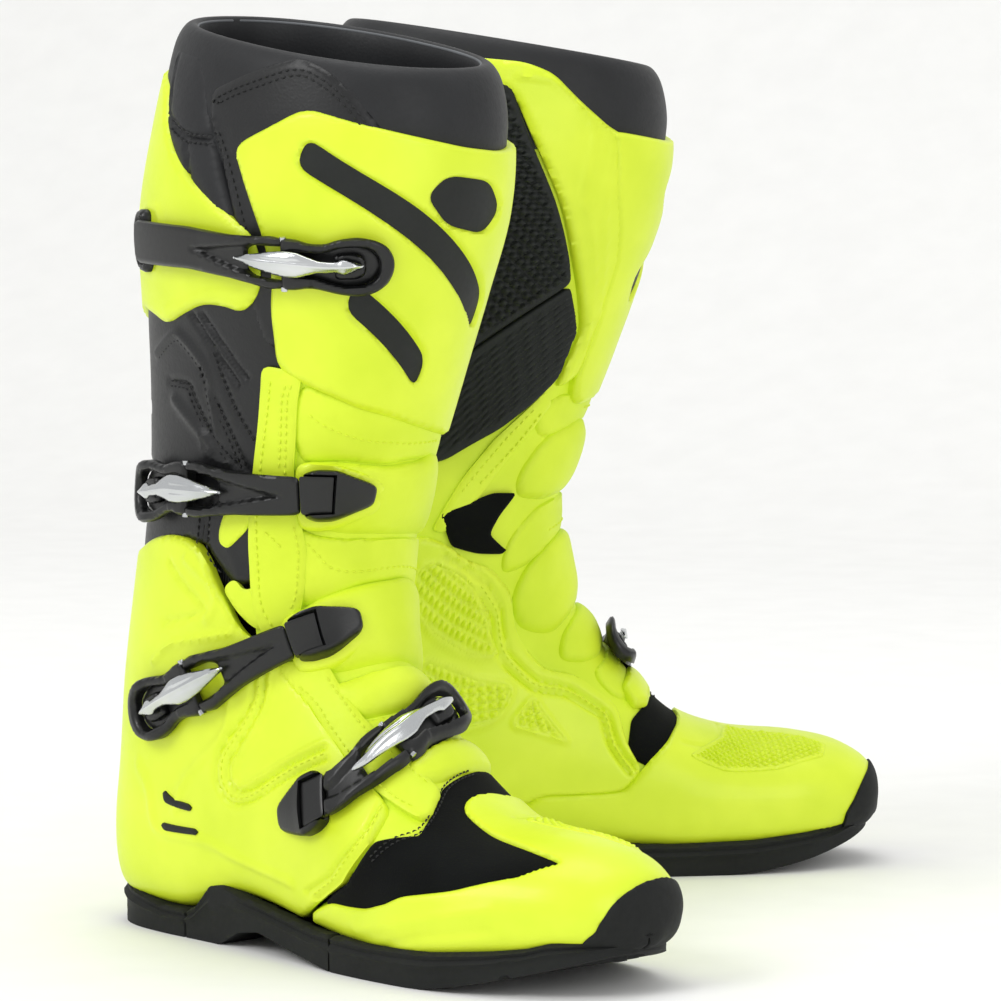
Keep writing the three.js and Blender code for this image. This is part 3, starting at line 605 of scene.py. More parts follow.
# knitted polyester lining, stitches drawn 1.6 mm apart so that they show
KNIT = finish("black_knit_lining", "#1E2022", "#151718", .95, .8, .10, sheen=.1,
              pattern=waves(1.6, 2.2), specular=.2)
# glass-filled nylon buckles, satin
BUCKLE_NYLON = finish("satin_black_nylon", "#111213", "#0C0D0D", .33, .8, .03, specular=.45)
# urethane straps, slightly glossy
STRAP_URETHANE = finish("black_urethane_strap", "#0F1010", "#0A0B0B", .36, 1.2, .04, specular=.5)
# forged aluminium, brushed and clear anodised
LEVER_ALUMINIUM = finish("brushed_aluminium", "#DADCDD", "#BFC2C4", .22, .7, .03, metallic=1.0)
STEEL_PIN = finish("polished_steel_pin", "#C9CBCD", "#AFB2B5", .2, .7, .01, metallic=1.0)
# bonded polyester thread
YELLOW_THREAD = finish("yellow_thread", "#DDEE3A", "#D0E32A", .7, .4, .05)
BLACK_THREAD = finish("black_thread", "#1B1C1D", "#121314", .75, .4, .05)
GREY_PIPING = finish("grey_piping", "#6C6F72", "#55585B", .6, .8, .06)
INSOLE_FOAM = finish("insole_foam", "#3A3B3D", "#2B2C2E", .95, 1.4, .15)

# ------------------------------------------------------------------ sizes shared with the frame
PLATE, CALF, SHELL, FLEX = 4.5, 4.0, 2.5, 2.5    # outside of each panel above the body, mm
RIB = 5.0                                       # height of the CAD ankle bulges


# ------------------------------------------------------------------ patterns cut into faces
def knurl(height, pitch, depth, edge=2.0, radius=1.2):
    """Face with raised pyramids: 1 minus the larger distance to a cell's middle, cells turned 45 degrees."""
    base = soft_edge(height, radius)

    def top(u, v, d):
        a, b = (u * WRAP[0] + v) / pitch, (u * WRAP[0] - v) / pitch
        cell = 1 - 2 * np.maximum(abs(a - np.round(a)), abs(b - np.round(b)))
        return base(u, v, d) + depth * (np.clip(cell * 1.6, 0, 1) - .5) * np.clip((d - edge) / 1.5, 0, 1)
    return top


def ribbed(height, pitch, depth, slope):
    """Face with parallel ribs: a sine across lines that fall by `slope`."""
    base = soft_edge(height, 1.2)

    def top(u, v, d):
        wave = np.sin(2 * np.pi * (v + slope * u * WRAP[0]) / pitch)
        return base(u, v, d) + depth * np.tanh(2 * wave) * np.clip((d - 2) / 1.5, 0, 1)
    return top


def run(points, n=60):
    """(s, th) points to a smooth chart path."""
    return turned(flow(points, n))


def beside(points, gap, n=60):
    """Path parallel to one through (s, th) points, `gap` mm to its left."""
    path = run(points, n) * WRAP
    step = np.gradient(path, axis=0)
    step /= np.linalg.norm(step, axis=1, keepdims=True)
    return (path + gap * np.stack([-step[:, 1], step[:, 0]], -1)) / WRAP


def line_beside(points, gap):
    """The same as (s, th) points, as panel lines are written."""
    return beside(points, gap)[:, ::-1]


def angular(points, corner=4.0, closed=False):
    """Dense path of straight runs with tight corners through (s, th) points."""
    p = np.asarray(points, float)
    if closed:
        q = rounded(p, corner, 3.0)
        return np.vstack([q, q[:1]])
    out = [p[:1]]
    for a, b, c in zip(p[:-2], p[1:-1], p[2:]):
        la, lc = np.linalg.norm(a - b), np.linalg.norm(c - b)
        ends = b + (a - b) * min(corner / la, .45), b + (c - b) * min(corner / lc, .45)
        out += [ends[0][None], (.25 * ends[0] + .5 * b + .25 * ends[1])[None], ends[1][None]]
    q = np.concatenate(out + [p[-1:]])
    return np.concatenate([a + (b - a) * np.linspace(0, 1, max(2, int(np.linalg.norm(b - a) / 3)),
                                                     endpoint=False)[:, None]
                           for a, b in zip(q[:-1], q[1:])] + [q[-1:]])


def stroke(a, b, half, slant=0.0):
    """Outline of a bar between two (s, th) points with slanted ends, half a width each side."""
    a, b = np.asarray(a, float) * (1, WRAP[0]), np.asarray(b, float) * (1, WRAP[0])
    d = (b - a) / np.linalg.norm(b - a)
    n = np.array([-d[1], d[0]])
    corners = [a + n * half - d * slant, b + n * half - d * slant, b - n * half + d * slant,
               a - n * half + d * slant]
    return np.array(corners) / (1, WRAP[0])


# ------------------------------------------------------------------ shaft: collar and padding
def collar_band():
    """Padded roll at the top: closed profile of (s, off), fat at the rim, thin under the plates."""
    outside = [(430, -3.5), (433, .2), (446, 1.4), (458, 2.4), (468, 2.6), (475, 1.8), (479.5, -.4)]
    inside = [(481, -3.2), (479.5, -6.0), (473, -8.0), (463, -8.6), (450, -8.4), (438, -8.0), (431, -6.2)]
    return lathe_band(flow(outside + inside + outside[:1], 71)[:-1], 200)


def leg_lining():
    """Knit tube inside the shaft, closed profile of (s, off)."""
    wall = [(s, -8.9) for s in np.linspace(452, 262, 30)] + [(s, -6.6) for s in np.linspace(262, 452, 30)]
    return lathe_band(wall, 120)


for obj in pair("collar_pad", collar_band(), COLLAR_LEATHER, "shaft", ("collar",)):
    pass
pair("leg_lining", leg_lining(), KNIT, "flex")
ring = np.stack([np.linspace(-180, 178.5, 200), np.full(200, 479.6)], -1)
pair("collar_piping", tube(ring, .75, off=-5.4), GREY_PIPING, "shaft")

CUSHION = [(474, 104), (466, 98), (456, 96), (439, 90), (421, 84), (408, 79), (398, 78), (408, 90),
           (424, 104), (444, 122), (462, 128), (474, 126)]
CUSHION_SEAMS = [[(470, 121), (456, 119), (450, 117), (443, 104), (443, 91)], [(443, 104), (422, 100)]]
for obj in pair("calf_cushion", panel(CUSHION, soft_edge(1.6, 2.0, 2.6, 6.0), -2.0,
                                      lines=[(CUSHION_SEAMS[0], -1.6, 1.2), (CUSHION_SEAMS[1], -1.6, 1.2)]),
                COLLAR_LEATHER, "shaft"):
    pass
TAB = [(462, 96), (470, 82), (480, 62), (477, 52), (468, 42), (454, 33), (438, 28), (420, 40), (400, 52),
       (380, 56), (352, 58), (352, 66), (372, 73), (386, 74), (400, 77.5), (420, 83), (439, 89), (453, 95)]


def tab_height(u, v):
    """The tab lies over the collar at its top and under both plates further down."""
    return 3.6 - 1.2 * np.clip((450 - v) / 14, 0, 1)


pair("stitched_tab", panel(TAB, soft_edge(tab_height, 1.1), -2.0, corner=4,
                           lines=[([(452, 93), (438, 87), (420, 81), (400, 75), (384, 71)], .9, 1.0)]),
     BLACK_LEATHER, "shaft")
TAB_EDGE = [(456, 93), (460, 92), (469, 76), (475.5, 62), (473, 53), (465, 44), (455, 37.5)]
TAB_SIDE = [(448, 90), (438, 85.5), (420, 79.5), (400, 73.5), (384, 69.5)]
black_rows = [run(TAB_EDGE), beside(TAB_EDGE, 2.3), run(TAB_SIDE), beside([(441, 90), (441, 104),
                                                                           (446, 116)], 0),
              beside([(441, 90), (441, 104), (446, 116)], 3.2)]
pair("tab_stitches", joined(stitches(black_rows[:3], off=lambda u, v: tab_height(u, v) + .1),
                            stitches(black_rows[3:], off=4.0)),
     BLACK_THREAD, "shaft")

# ------------------------------------------------------------------ shaft: plates
pair("leg_base", panel([(462, -30), (462, 60), (300, 62), (255, 58), (255, -20), (255, -125), (330, -128),
                        (462, -128)], soft_edge(.6, .6), -3.0, step=2.6),
     YELLOW_LEATHER, "flex", ("flex_panel",))
SHIN = [(461, 58), (457, 44), (451, 20), (446, 0), (443, -22), (444, -36), (447, -60), (440, -58), (409, -54),
        (377, -46), (345, -45), (322, -46), (313, -40), (314, -20), (317, -4), (325, 27), (335, 47),
        (343, 60), (367, 64), (382, 64), (400, 68), (420, 75), (441, 82)]
# three plain blocks let into the shin plate
BARS = [stroke((441, 58), (362, -27), 6.4, 3.6), stroke((372, 38), (338, 2), 5.2, 3),
        [(431, 8), (427, -14), (411, -24), (399, -14), (404, 6), (419, 16)]]
pair("shin_plate", panel(SHIN, soft_edge(PLATE + .6, 1.7, .5, 14), 0.0, corner=6, holes=BARS, rows=3,
                         step=1.3),
     YELLOW_TPU, "shaft", ("shin_plate",))
pair("shin_bars", joined(*[panel(b, soft_edge(PLATE - 1.15, .01), PLATE - 4.0, step=1.4, corner=3)
                           for b in BARS]),
     GRIP_PLAIN, "shaft")
INNER = [(472, -108), (473, -90), (470, -80), (460, -71), (449, -60), (444, -52), (409, -48), (377, -40),
         (350, -42), (326, -44), (322, -54), (346, -50), (379, -63), (409, -73), (435, -83), (459, -93),
         (466, -104)]
PIPE_A = [(467, -92), (466, -80), (450, -67), (430, -66), (409, -66), (379, -56), (351, -49), (334, -47)]
PIPE_B = [(458, -71), (443, -59), (409, -58), (371, -50), (350, -46)]
pair("inner_plate", panel(INNER, soft_edge(4.4, 1.6), 0.0, corner=4,
                          lines=[(PIPE_A, .9, .9), (PIPE_B, .9, .9)]),
     YELLOW_TPU, "shaft")
GRIP_TOP = [(463, -94.5), (435, -84.5), (409, -75), (379, -65), (368, -62), (336, -100), (345, -116),
            (380, -118), (430, -118), (463, -114)]
GRIP_LOW = [(367, -62), (346, -53), (326, -55), (317, -64), (310, -74), (306, -84), (302, -93), (302, -104),
            (320, -112), (344, -116), (335.5, -100)]
pair("grip_diamonds", panel(GRIP_TOP, knurl(4.8, 5.2, 2.0), 0.0, corner=3, step=.7), GRIP_RUBBER, "shaft",
     ("grip_panel",))
pair("grip_ribs", panel(GRIP_LOW, ribbed(4.3, 3.6, .45, -.85), 0.0, corner=3, step=.75), GRIP_RUBBER, "shaft")
CALF_PLATE = [(460, 124), (464, 140), (465, 180), (463, 225), (462, 244), (430, 241), (380, 240), (335, 246),
              (332, 236), (346, 214), (356, 180), (363, 150), (369, 134), (366, 120), (362, 111), (366, 102),
              (370, 92), (369, 82), (366, 75), (371, 70), (378, 68), (392, 69), (401, 72.5), (411, 84),
              (423, 98), (434, 109), (445, 117)]
SLOT_RING = [(407, 126), (410, 119), (407, 112), (386, 112), (383, 119), (386, 126), (407, 126)]
pair("calf_plate", panel(CALF_PLATE, soft_edge(CALF + .4, 1.5, .6, 12), 0.0, corner=5, rows=3,
                         lines=[(SLOT_RING, .8, 1.4),
                                ([(374, 74), (375, 86), (371, 98), (368, 110)], .5, 1.2)]),
     YELLOW_TPU, "shaft", ("calf_plate",))

# ------------------------------------------------------------------ ankle: black quilted panel
ANKLE_AREA = [(378, 66), (356, 63), (344, 57), (331, 61), (313, 60), (287, 58), (272, 57), (264, 60),
              (266, 68), (275, 76), (283, 84), (287, 96), (288, 120), (286, 180), (284, 236), (300, 240),
              (372, 244), (378, 180), (378, 110)]
TWIN = [(366, 98), (351, 86), (338, 75.5)]
POLY = [(351, 122), (358, 108), (356, 102), (346, 92), (333, 87), (322, 84)]
ROW_A = [(341, 112), (339, 100), (333, 96), (320, 86), (309, 73)]
ROW_B = [(345, 93), (335, 87), (321, 78), (306, 68)]
ROW_C = [(352, 88), (339, 82), (327, 75), (314, 65)]
LINK = [(298, 84), (290, 84), (279, 82), (270, 74)]
VENT = [(321, 92), (320, 86), (315, 80), (310, 76), (311, 82), (315, 90), (321, 92)]
# sewn channels (negative) and raised ribs: path, height, half width
QUILT = [(TWIN, -2.0, 1.0), (POLY, 1.5, 1.8), (VENT, .9, .9), (LINK, -1.3, .9),
         (line_beside(LINK, 2.6), -1.3, .9),
         ([(366, 93), (352, 82), (340, 72)], -2.0, 1.0), ([(334, 108), (323, 94), (316, 86)], 1.5, 2.4),
         (ROW_A, -1.1, 1.3), (ROW_B, -1.1, 1.2), (ROW_C, -1.1, 1.2),
         ([(262, 64), (274, 68), (284, 74)], .6, 2.0),
         ([(350, 140), (350, 180), (350, 225)], -1.5, 1.6), ([(332, 136), (332, 180), (332, 228)], -1.5, 1.6),
         ([(314, 132), (314, 180), (314, 230)], -1.5, 1.6), ([(298, 132), (298, 180), (298, 230)], -1.5, 1.6)]
pair("ankle_pad", panel(ANKLE_AREA, soft_edge(1.5, 2.0, .6, 8), -3.0, lines=QUILT, step=1.3),
     BLACK_LEATHER, "flex", ("ankle_panel",))
pair("ankle_stitches", stitches([beside(ROW_A, 0), beside(ROW_A, 1.8), beside(ROW_B, 0), beside(ROW_B, 1.8),
                                 beside(ROW_C, 0),
                                 beside(POLY, 2.6), beside(LINK, -1.6), beside(LINK, 4.2)], 3.0, 2.2, .38,
                                off=1.9),
     BLACK_THREAD, "flex")
WINDOW = [(295, 74), (290, 76), (286, 76.5), (282, 75.5), (279, 71), (284, 64), (291, 61), (296, 61),
          (297, 68)]
pair("link_window", panel(WINDOW, soft_edge(3.2, .8), .0, step=1.0, corner=2), YELLOW_LEATHER, "flex")
PULL_TAB = [(262, 57), (262, 63), (268, 67), (266, 72), (256, 66), (248, 60), (244, 55), (250, 53)]
pair("strip_end", panel(PULL_TAB, soft_edge(3.2, .8), -.5, step=1.0, corner=3), YELLOW_LEATHER, "flex")

# ------------------------------------------------------------------ ankle: front ribs and strip
RIBS = {
    "rib_band_upper": (3.0, [(338, 52), (331, 36), (326, 16), (320, -6), (318, -38), (320, -50), (312, -60),
                             (302, -54), (302, -30), (304, -16), (302, 9), (306, 33), (305, 46), (320, 54)]),
    "rib_upper": (7.6, [(302, 47), (307, 42), (306, 33), (302, 9), (303, -16), (308, -26), (303, -50),
                        (290, -60), (280, -58), (273, -40), (271, -10), (272, 4), (274, 22), (279, 36),
                        (287, 45)]),
    "rib_band_middle": (3.4, [(285, 47), (277, 37), (272, 22), (270, 2), (270, -16), (272, -44), (262, -58),
                              (250, -60), (246, -46), (248, -21), (246, 0), (245, 22), (244, 36),
                              (250, 46)]),
    "rib_middle": (8.6, [(243, 47), (247, 38), (247, 22), (247, 0), (250, -21), (247, -46), (238, -55),
                         (224, -52), (212, -42), (209, -20), (209, 8), (213, 28), (221, 42), (232, 47)]),
    "rib_lower": (5.6, [(214, 40), (209, 28), (206, 8), (206, -14), (208, -38), (202, -48), (190, -42),
                        (182, -28), (180, -6), (182, 16), (187, 32), (200, 40)]),
    "rib_band_lower": (3.0, [(188, 36), (181, 16), (177, -6), (179, -28), (184, -42), (170, -46), (161, -40),
                             (159, -14), (158, 8), (158, 24), (172, 36)])}


def rib_face(tall):
    """Soft fold: a rounded rim, then up to `tall`, lower toward the inner side."""
    base = soft_edge(1.8, 1.4)

    def top(u, v, d):
        fade = np.interp(u, [-58, -32, -8], [.35, .7, 1.0])
        return base(u, v, d) + (tall - 1.8) * fade * (1 - np.exp(-d / 4.6))
    return top


for name, (tall, area) in RIBS.items():
    pair(name, panel(area, rib_face(tall), -1.0, corner=7), YELLOW_LEATHER, "flex")
STRIP = [(345, 66), (327, 65.5), (309, 65.5), (288, 63.5), (270, 60.5), (254, 59.5), (241, 56), (235, 49),
         (240, 43), (252, 39.5), (269, 38), (280, 41), (292, 45), (304, 49), (329, 51.5), (341, 51)]
pair("stitched_strip", panel(STRIP, soft_edge(4.2, .9), -1.0, corner=4), YELLOW_LEATHER, "flex")
BAND = [(232, 53), (209, 47), (190, 48), (163, 46), (140, 40), (120, 34), (117, 27), (128, 13), (140, 16),
        (155, 19), (172, 26), (186, 31), (200, 32), (222, 35)]
pair("instep_strip", panel(BAND, soft_edge(4.4, .9), -1.0, corner=4), YELLOW_LEATHER, "feet")
pair("strip_stitches", stitches([run([(340, 62), (327, 62), (309, 62), (288, 60), (270, 57), (254, 56),
                                      (243, 52)]),
                                 run([(338, 54), (329, 55), (304, 52), (290, 48)]),
                                 run([(338, 56), (329, 57), (304, 54.5)]),
                                 run([(283, 45), (269, 41.5), (252, 43), (246, 46)]),
                                 run([(283, 57), (278, 52), (272, 47)])], off=4.3), YELLOW_THREAD, "flex")
rib_rows = {"rib_band_upper": [(326, 48), (321, 42), (316, 32), (312, 18), (310, -6), (311, -30)],
            "rib_band_middle": [(275, 40), (267, 34), (258, 27), (253, 12), (254, -15), (256, -36)],
            "rib_band_lower": [(178, 28), (172, 18), (168, -4), (170, -26)]}
pair("rib_stitches", joined(*[stitches([run(row)], off=height_on(RIBS[n][1], rib_face(RIBS[n][0]), 7))
                              for n, row in rib_rows.items()]),
     YELLOW_THREAD, "flex")
pair("instep_stitches", stitches([run([(220, 48), (207, 44.5), (188, 45), (165, 43), (140, 37), (124, 31)]),
                                  run([(216, 37), (200, 35), (186, 34), (168, 29), (152, 23), (132, 17)])],
                                 off=4.5),
     YELLOW_THREAD, "feet")

# ------------------------------------------------------------------ foot
pair("foot_base", panel([(262, -128), (262, 60), (180, 60), (150, 70), (140, 128), (70, 128), (70, -128),
                         (150, -128)], soft_edge(.4, .5), -3.0, step=2.8), YELLOW_LEATHER, "flex")
FOOT_SHELL = [(238, 55), (251, 66), (262, 71), (270, 76), (278, 81), (285, 89), (289, 100), (290, 112),
              (288, 140), (285, 180), (285, 215), (281, 240), (277, 266), (272, 275), (262, 286), (255, 296),
              (240, 305), (224, 305), (206, 304), (191, 310), (168, 310), (160, 293), (151, 283), (159, 267),
              (172, 257), (182, 249), (187, 222), (184, 200), (178, 170), (172, 140), (160, 112), (148, 84),
              (139, 62), (140, 44), (150, 43), (165, 45), (190, 47), (209, 46), (230, 51)]
INLAYS = {"inlay_upper": [(268, 265), (267, 271), (262, 280), (254, 287), (240, 294), (224, 296), (232, 286),
                          (246, 273), (258, 265)],
          "inlay_middle": [(241, 270), (230, 283), (212, 293), (208, 280), (220, 267), (236, 262)],
          "inlay_lower": [(204, 280), (204, 294), (180, 282)]}
SEAM_IN = angular([(270, 276), (254, 294), (238, 302), (224, 301), (206, 300), (191, 305), (170, 305),
                   (163, 291), (153, 283)], 5)
ELL = angular([(234, 57), (224, 60), (220, 70), (218, 82), (210, 87), (204, 82), (197, 68), (188, 52)])
FRONT_SEAM = [(146, 44), (145, 60), (155, 84), (167, 112)]
# grooves (negative) and raised lines of the shell: path, height, half width
EMBOSSED = [(line_beside(SEAM_IN, g), -1.8, 1.0) for g in (-1.8, -6.0)] + [
    (ELL, -1.7, .9), (line_beside(ELL, 4.6), -1.7, .9), (line_beside(ELL, -2.6), 1.0, 1.1),
    (FRONT_SEAM, -1.5, .9), (line_beside(FRONT_SEAM, -5), -1.5, .9), (line_beside(FRONT_SEAM, -7.5), .8, 1.1),
    ([(281, 100), (272, 90), (264, 81), (261, 80), (262, 90), (264, 100)], -1.1, 1.0),
    ([(280, 90), (269, 77), (262, 74), (258, 78)], 1.2, 1.8),
    ([(256, 106), (257, 96), (254, 82), (250, 68)], 1.2, 1.2),
    ([(238, 116), (232, 112), (222, 114), (206, 109), (190, 115), (174, 112)], 1.0, 2.0),
    ([(240, 74), (232, 72), (226, 78), (226, 96), (222, 106)], 1.0, 1.8)] + [
    (angular(a, 5, True), 1.2, 1.0) for a in INLAYS.values()]
pair("foot_shell", panel(FOOT_SHELL, soft_edge(SHELL + 1.7, 1.6), -2.0, corner=6, lines=EMBOSSED, rows=3,
                         step=1.1),
     YELLOW_TPU, "feet", ("foot_shell",))
pair("shell_stitches", stitches([beside(ELL, 2.2), beside(FRONT_SEAM, -2.5), beside(SEAM_IN[7:], -3.9)],
                                off=SHELL + 1.6),
     YELLOW_THREAD, "feet")
# two short bars on the side of the heel
MARKS = [stroke((228, 106), (218, 101), 1.1, .8), stroke((222, 112), (212, 107), 1.1, .8)]
pair("heel_marks", joined(*[panel(b, soft_edge(SHELL + 3.0, .4), SHELL + .5, step=.8, corner=.8)
                            for b in MARKS]),
     GRIP_PLAIN, "feet")
VAMP_AREA = [(161, 118), (144, 78), (138, 62), (113, 41), (118, 28), (132, 10), (141, -14), (150, -34),
             (159, -52), (159, -72), (147, -74), (130, -50), (106, -16), (100, 4), (70, 14), (36, 24),
             (34, 40), (44, 60), (70, 80), (98, 98), (126, 112), (150, 120)]
pair("vamp", panel(VAMP_AREA, soft_edge(2.2, .9), -2.5, corner=3), SUEDE, "feet", ("vamp",))
pair("vamp_stitches", stitches([beside(p, g) for p in ([(140, 70), (128, 50), (120, 38), (124, 26), (136, 10),
                                                        (145, -12)],)
                                for g in (4, 7)], 2.6, 1.8, .4, off=2.3), BLACK_THREAD, "feet")
TOE = [(9, -150), (9, 150), (60, 150), (140, 150), (170, 150), (166, 128), (156, 112), (132, 102), (103, 81),
       (77, 70), (54, 54), (43, 33), (59, 29), (77, 21.5), (96, 15), (110, 11), (117, 4), (120, -6),
       (121, -20), (126, -34), (137, -54), (148, -70), (151, -76), (159, -92), (172, -102), (182, -110),
       (187, -140), (150, -150)]
pair("toe_cap", panel(TOE, soft_edge(SHELL + 1.8, 1.5), -2.0, corner=4, rows=3,
                      lines=[([(126, -50), (108, -44), (97, -30), (92, -6)], -.8, .9),
                             ([(140, 120), (110, 106), (84, 92), (60, 84)], .6, 2.4),
                             ([(120, 128), (90, 112), (60, 104)], -.5, 2.0)]),
     YELLOW_TPU, "feet", ("toe_cap",))
TOE_DOTS = [(122, -58), (106, -42), (96, -31), (89, -8), (57, -18), (44, -26), (48, -45), (70, -58),
            (100, -63)]
pair("toe_dimples", panel(TOE_DOTS, knurl(SHELL + 2.4, 5.0, 1.6, 1.0, .5), SHELL, step=.7), YELLOW_TPU,
     "feet")
BUMPER = [(.6, -177), (.6, 177), (22, 177), (22, 150), (19, 126), (13, 100), (11.5, 70), (12, 42), (13, 15),
          (15.5, -16), (20, -45), (27, -75), (34, -110), (34, -150), (30, -177)]
pair("toe_bumper", panel(BUMPER, soft_edge(SHELL + 3.4, 1.2), 0.0, corner=5, rows=3, step=1.2), SOLE_RUBBER,
     "feet")
BLOCK = [(140, 22), (137, 8), (141, -12), (149, -36), (158, -44), (167, -38), (161, -14), (155, 8), (151, 24)]
pair("instep_block", panel(BLOCK, soft_edge(4.2, 1.2, 2.4, 4), -1.0, corner=3), YELLOW_TPU, "feet")

# inner side: stitched strip, suede window and dimpled inlays
CROSS = [(322, -58), (314, -66), (306, -75), (294, -84), (278, -92), (276, -86), (284, -76), (296, -68),
         (306, -60), (316, -53)]
pair("cross_strip", panel(CROSS, soft_edge(3.2, .9), -1.0, corner=2), YELLOW_LEATHER, "flex")
pair("cross_stitches", stitches([run([(316, -61), (306, -70), (296, -78), (288, -84)]),
                                 run([(314, -57), (304, -64), (296, -71), (290, -77)])], off=3.3),
     YELLOW_THREAD, "flex")
for name, area in INLAYS.items():
    pair(name, panel(area, knurl(SHELL + 2.3, 4.4, 1.7, 1.0, .6), 1.0, step=.65, corner=3), YELLOW_TPU,
         "feet")
SUEDE_WINDOW = [(283, -90), (285, -69), (282, -59), (275, -65), (269, -67.5), (257, -57), (263, -70),
                (270, -82)]
pair("suede_window", panel(SUEDE_WINDOW, soft_edge(3.8, .8), -1.0, corner=2, step=1.2), SUEDE, "flex")


# ------------------------------------------------------------------ sole
def plan(u, v, off):
    """Chart of the ground plan: off is the height."""
    return np.stack(np.broadcast_arrays(u, v, off), -1)


SOLE_OUTER = [(216, 6), (212, -12), (202, -25), (188, -34.5), (170, -44), (148, -50), (120, -51.5), (90, -50),
              (60, -46), (30, -43), (0, -41), (-30, -40), (-54, -36), (-70, -27), (-78, -14)]
SOLE_INNER = [(-80, 0), (-78, 14), (-69, 28), (-54, 37), (-30, 41), (0, 41), (30, 42), (60, 46), (90, 51),
              (120, 53), (150, 54), (175, 51), (191, 44), (203, 35), (212, 22)]


def sole_top(x, y, d):
    """Height of the sole's upper edge: a low heel that steps up in front, thin at the ball of the
    foot and drawn up over the toe."""
    edge = np.interp(x, [-80, -60, -30, -14, -8, 4, 12, 34, 58, 78, 112, 150, 176, 190, 198],
                     [22, 17, 12, 12, 14, 26, 26, 21.5, 18, 15.5, 14.5, 15.5, 18, 20, 22])
    h = edge + np.interp(x, [190, 216], [0, 2])
    t = 1 - np.clip(d / 1.5, 0, 1)
    h = h - 1.5 * (1 - np.sqrt(1 - t * t))
    return np.where(d > 7.0, np.minimum(h, 13.0), h)


def sole_bottom(x, y):
    """Ground side: flat under heel and ball, arched between, sprung at the toe, with tread bars."""
    arch = np.interp(x, [10, 24, 38, 62, 92], [0, 7, 9, 4.5, 0])
    spring = 20 * np.clip((x - 138) / 84, 0, 1) ** 1.6
    bars = (np.mod(x, 14) < 3.4) & (((x > 96) & (abs(y) < 38) & (x < 196)) | ((x < -18) & (abs(y) < 30)))
    return arch + spring + np.where(bars, 1.6, 0.0)


def welt(f):
    """Side wall of the sole at f of its height from the top: a groove, a welt, and a tuck at the foot."""
    return 1.3 * math.exp(-((f - .28) / .1) ** 2) - 1.5 * math.exp(-((f - .1) / .05) ** 2) - 1.8 * max(0,
                                                                                                       f - .8)


def sole_piece(x0, x1):
    """Stretch of the sole between two places along the foot."""
    outline = flow(SOLE_OUTER + SOLE_INNER + SOLE_OUTER[:1], 260)[:-1]
    clipped = outline.copy()
    clipped[:, 0] = np.clip(clipped[:, 0], x0, x1)
    keep = np.ones(len(clipped), bool)
    same = (clipped[:, 0] == np.roll(clipped[:, 0], 1)) & (clipped[:, 0] == np.roll(clipped[:, 0], -1))
    keep &= ~same
    return patch(plan, resampled(clipped[keep], 2.0), 1.6, sole_top, sole_bottom, rows=7,
                 bulge=welt)


pair("outsole_front", sole_piece(91.4, 240), SOLE_RUBBER, "feet", ("outsole_forefoot",))
pair("outsole_back", sole_piece(-100, -13.4), SOLE_RUBBER, "feet", ("outsole_heel",))
pair("arch_insert", sole_piece(-12.8, 90.8), SOLE_RUBBER, "feet", ("peg_insert",))

# ------------------------------------------------------------------ closures
# panel height under the closure, share of the ankle bulges, centre line from keeper to receiver
CLOSURES = [
    (PLATE, 0.0, [(396, 119), (394, 92), (388, 64), (385, 45), (386, 24)]),
    (FLEX, RIB, [(288, 10), (290, 28), (294, 50), (299, 72), (304, 96), (305, 128)]),
    (SHELL, RIB, [(226, 14), (229, 32), (235, 52), (240, 74), (244, 96), (246, 115)]),
    (SHELL, RIB, [(187, 85), (178, 72), (167, 57), (161, 40), (161, 20), (167, 0), (175, -22), (178, -31)]),
]
STRAP_WIDTH, STRAP_THICK, RING_WIDTH, KEEPER_LENGTH, KEEPER_WIDTH = 18.0, 3.0, 27.0, 31.0, 25.0
LEVER_LENGTH = 52.0


def run_chart(base, rib, path):
    """Chart whose u runs along a closure's centre line and v across it, both in millimetres, off
    above the panel underneath; returns the chart and the line's length."""
    path = np.asarray(path, float)
    t = np.linspace(0, len(path) - 1, 12 * (len(path) - 1) + 1)
    s, th = (np.interp(t, np.arange(len(path)), path[:, k]) for k in (0, 1))
    points = body(s, th, base)
    run = np.concatenate([[0], np.cumsum(np.linalg.norm(np.diff(points, axis=0), axis=1))])
    d = np.linspace(-14, run[-1], 400)
    s = np.interp(d, run, s) + np.minimum(d, 0) * (s[1] - s[0]) / run[1]
    th = np.interp(d, run, th) + np.minimum(d, 0) * (th[1] - th[0]) / run[1]
    width = 31
    kernel = np.hanning(width) / np.hanning(width).sum()
    s = np.convolve(np.pad(s, width // 2, "edge"), kernel, "valid")
    th = np.convolve(np.pad(th, width // 2, "edge"), kernel, "valid")
    ps = (body(s + 1, th, base) - body(s - 1, th, base)) / 2
    pt = (body(s, th + 1, base) - body(s, th - 1, base)) / 2
    along = ps * np.gradient(s, d)[:, None] + pt * np.gradient(th, d)[:, None]
    along /= np.linalg.norm(along, axis=1, keepdims=True)
    normal = body(s, th, base + 1) - body(s, th, base)
    across = np.cross(normal, along)
    across /= np.linalg.norm(across, axis=1, keepdims=True)
    a11, a12, a22 = (ps * ps).sum(1), (ps * pt).sum(1), (pt * pt).sum(1)
    b1, b2 = (across * ps).sum(1), (across * pt).sum(1)
    det = a11 * a22 - a12 * a12
    alpha, beta = (b1 * a22 - b2 * a12) / det, (a11 * b2 - a12 * b1) / det
    lift = base + rib * ribs(s, th)

    def chart(u, v, off):
        u, v = np.asarray(u, float), np.asarray(v, float)
        at = lambda values: np.interp(u, d, values)
        return body(at(s) + at(alpha) * v, at(th) + at(beta) * v, at(lift) + off)
    return chart, run[-1]


def mirrored(half):
    """Closed outline from its upper half, (u, v) with v above zero, front to back."""
    half = np.asarray(half, float)
    return np.vstack([half, half[::-1] * [1, -1]])


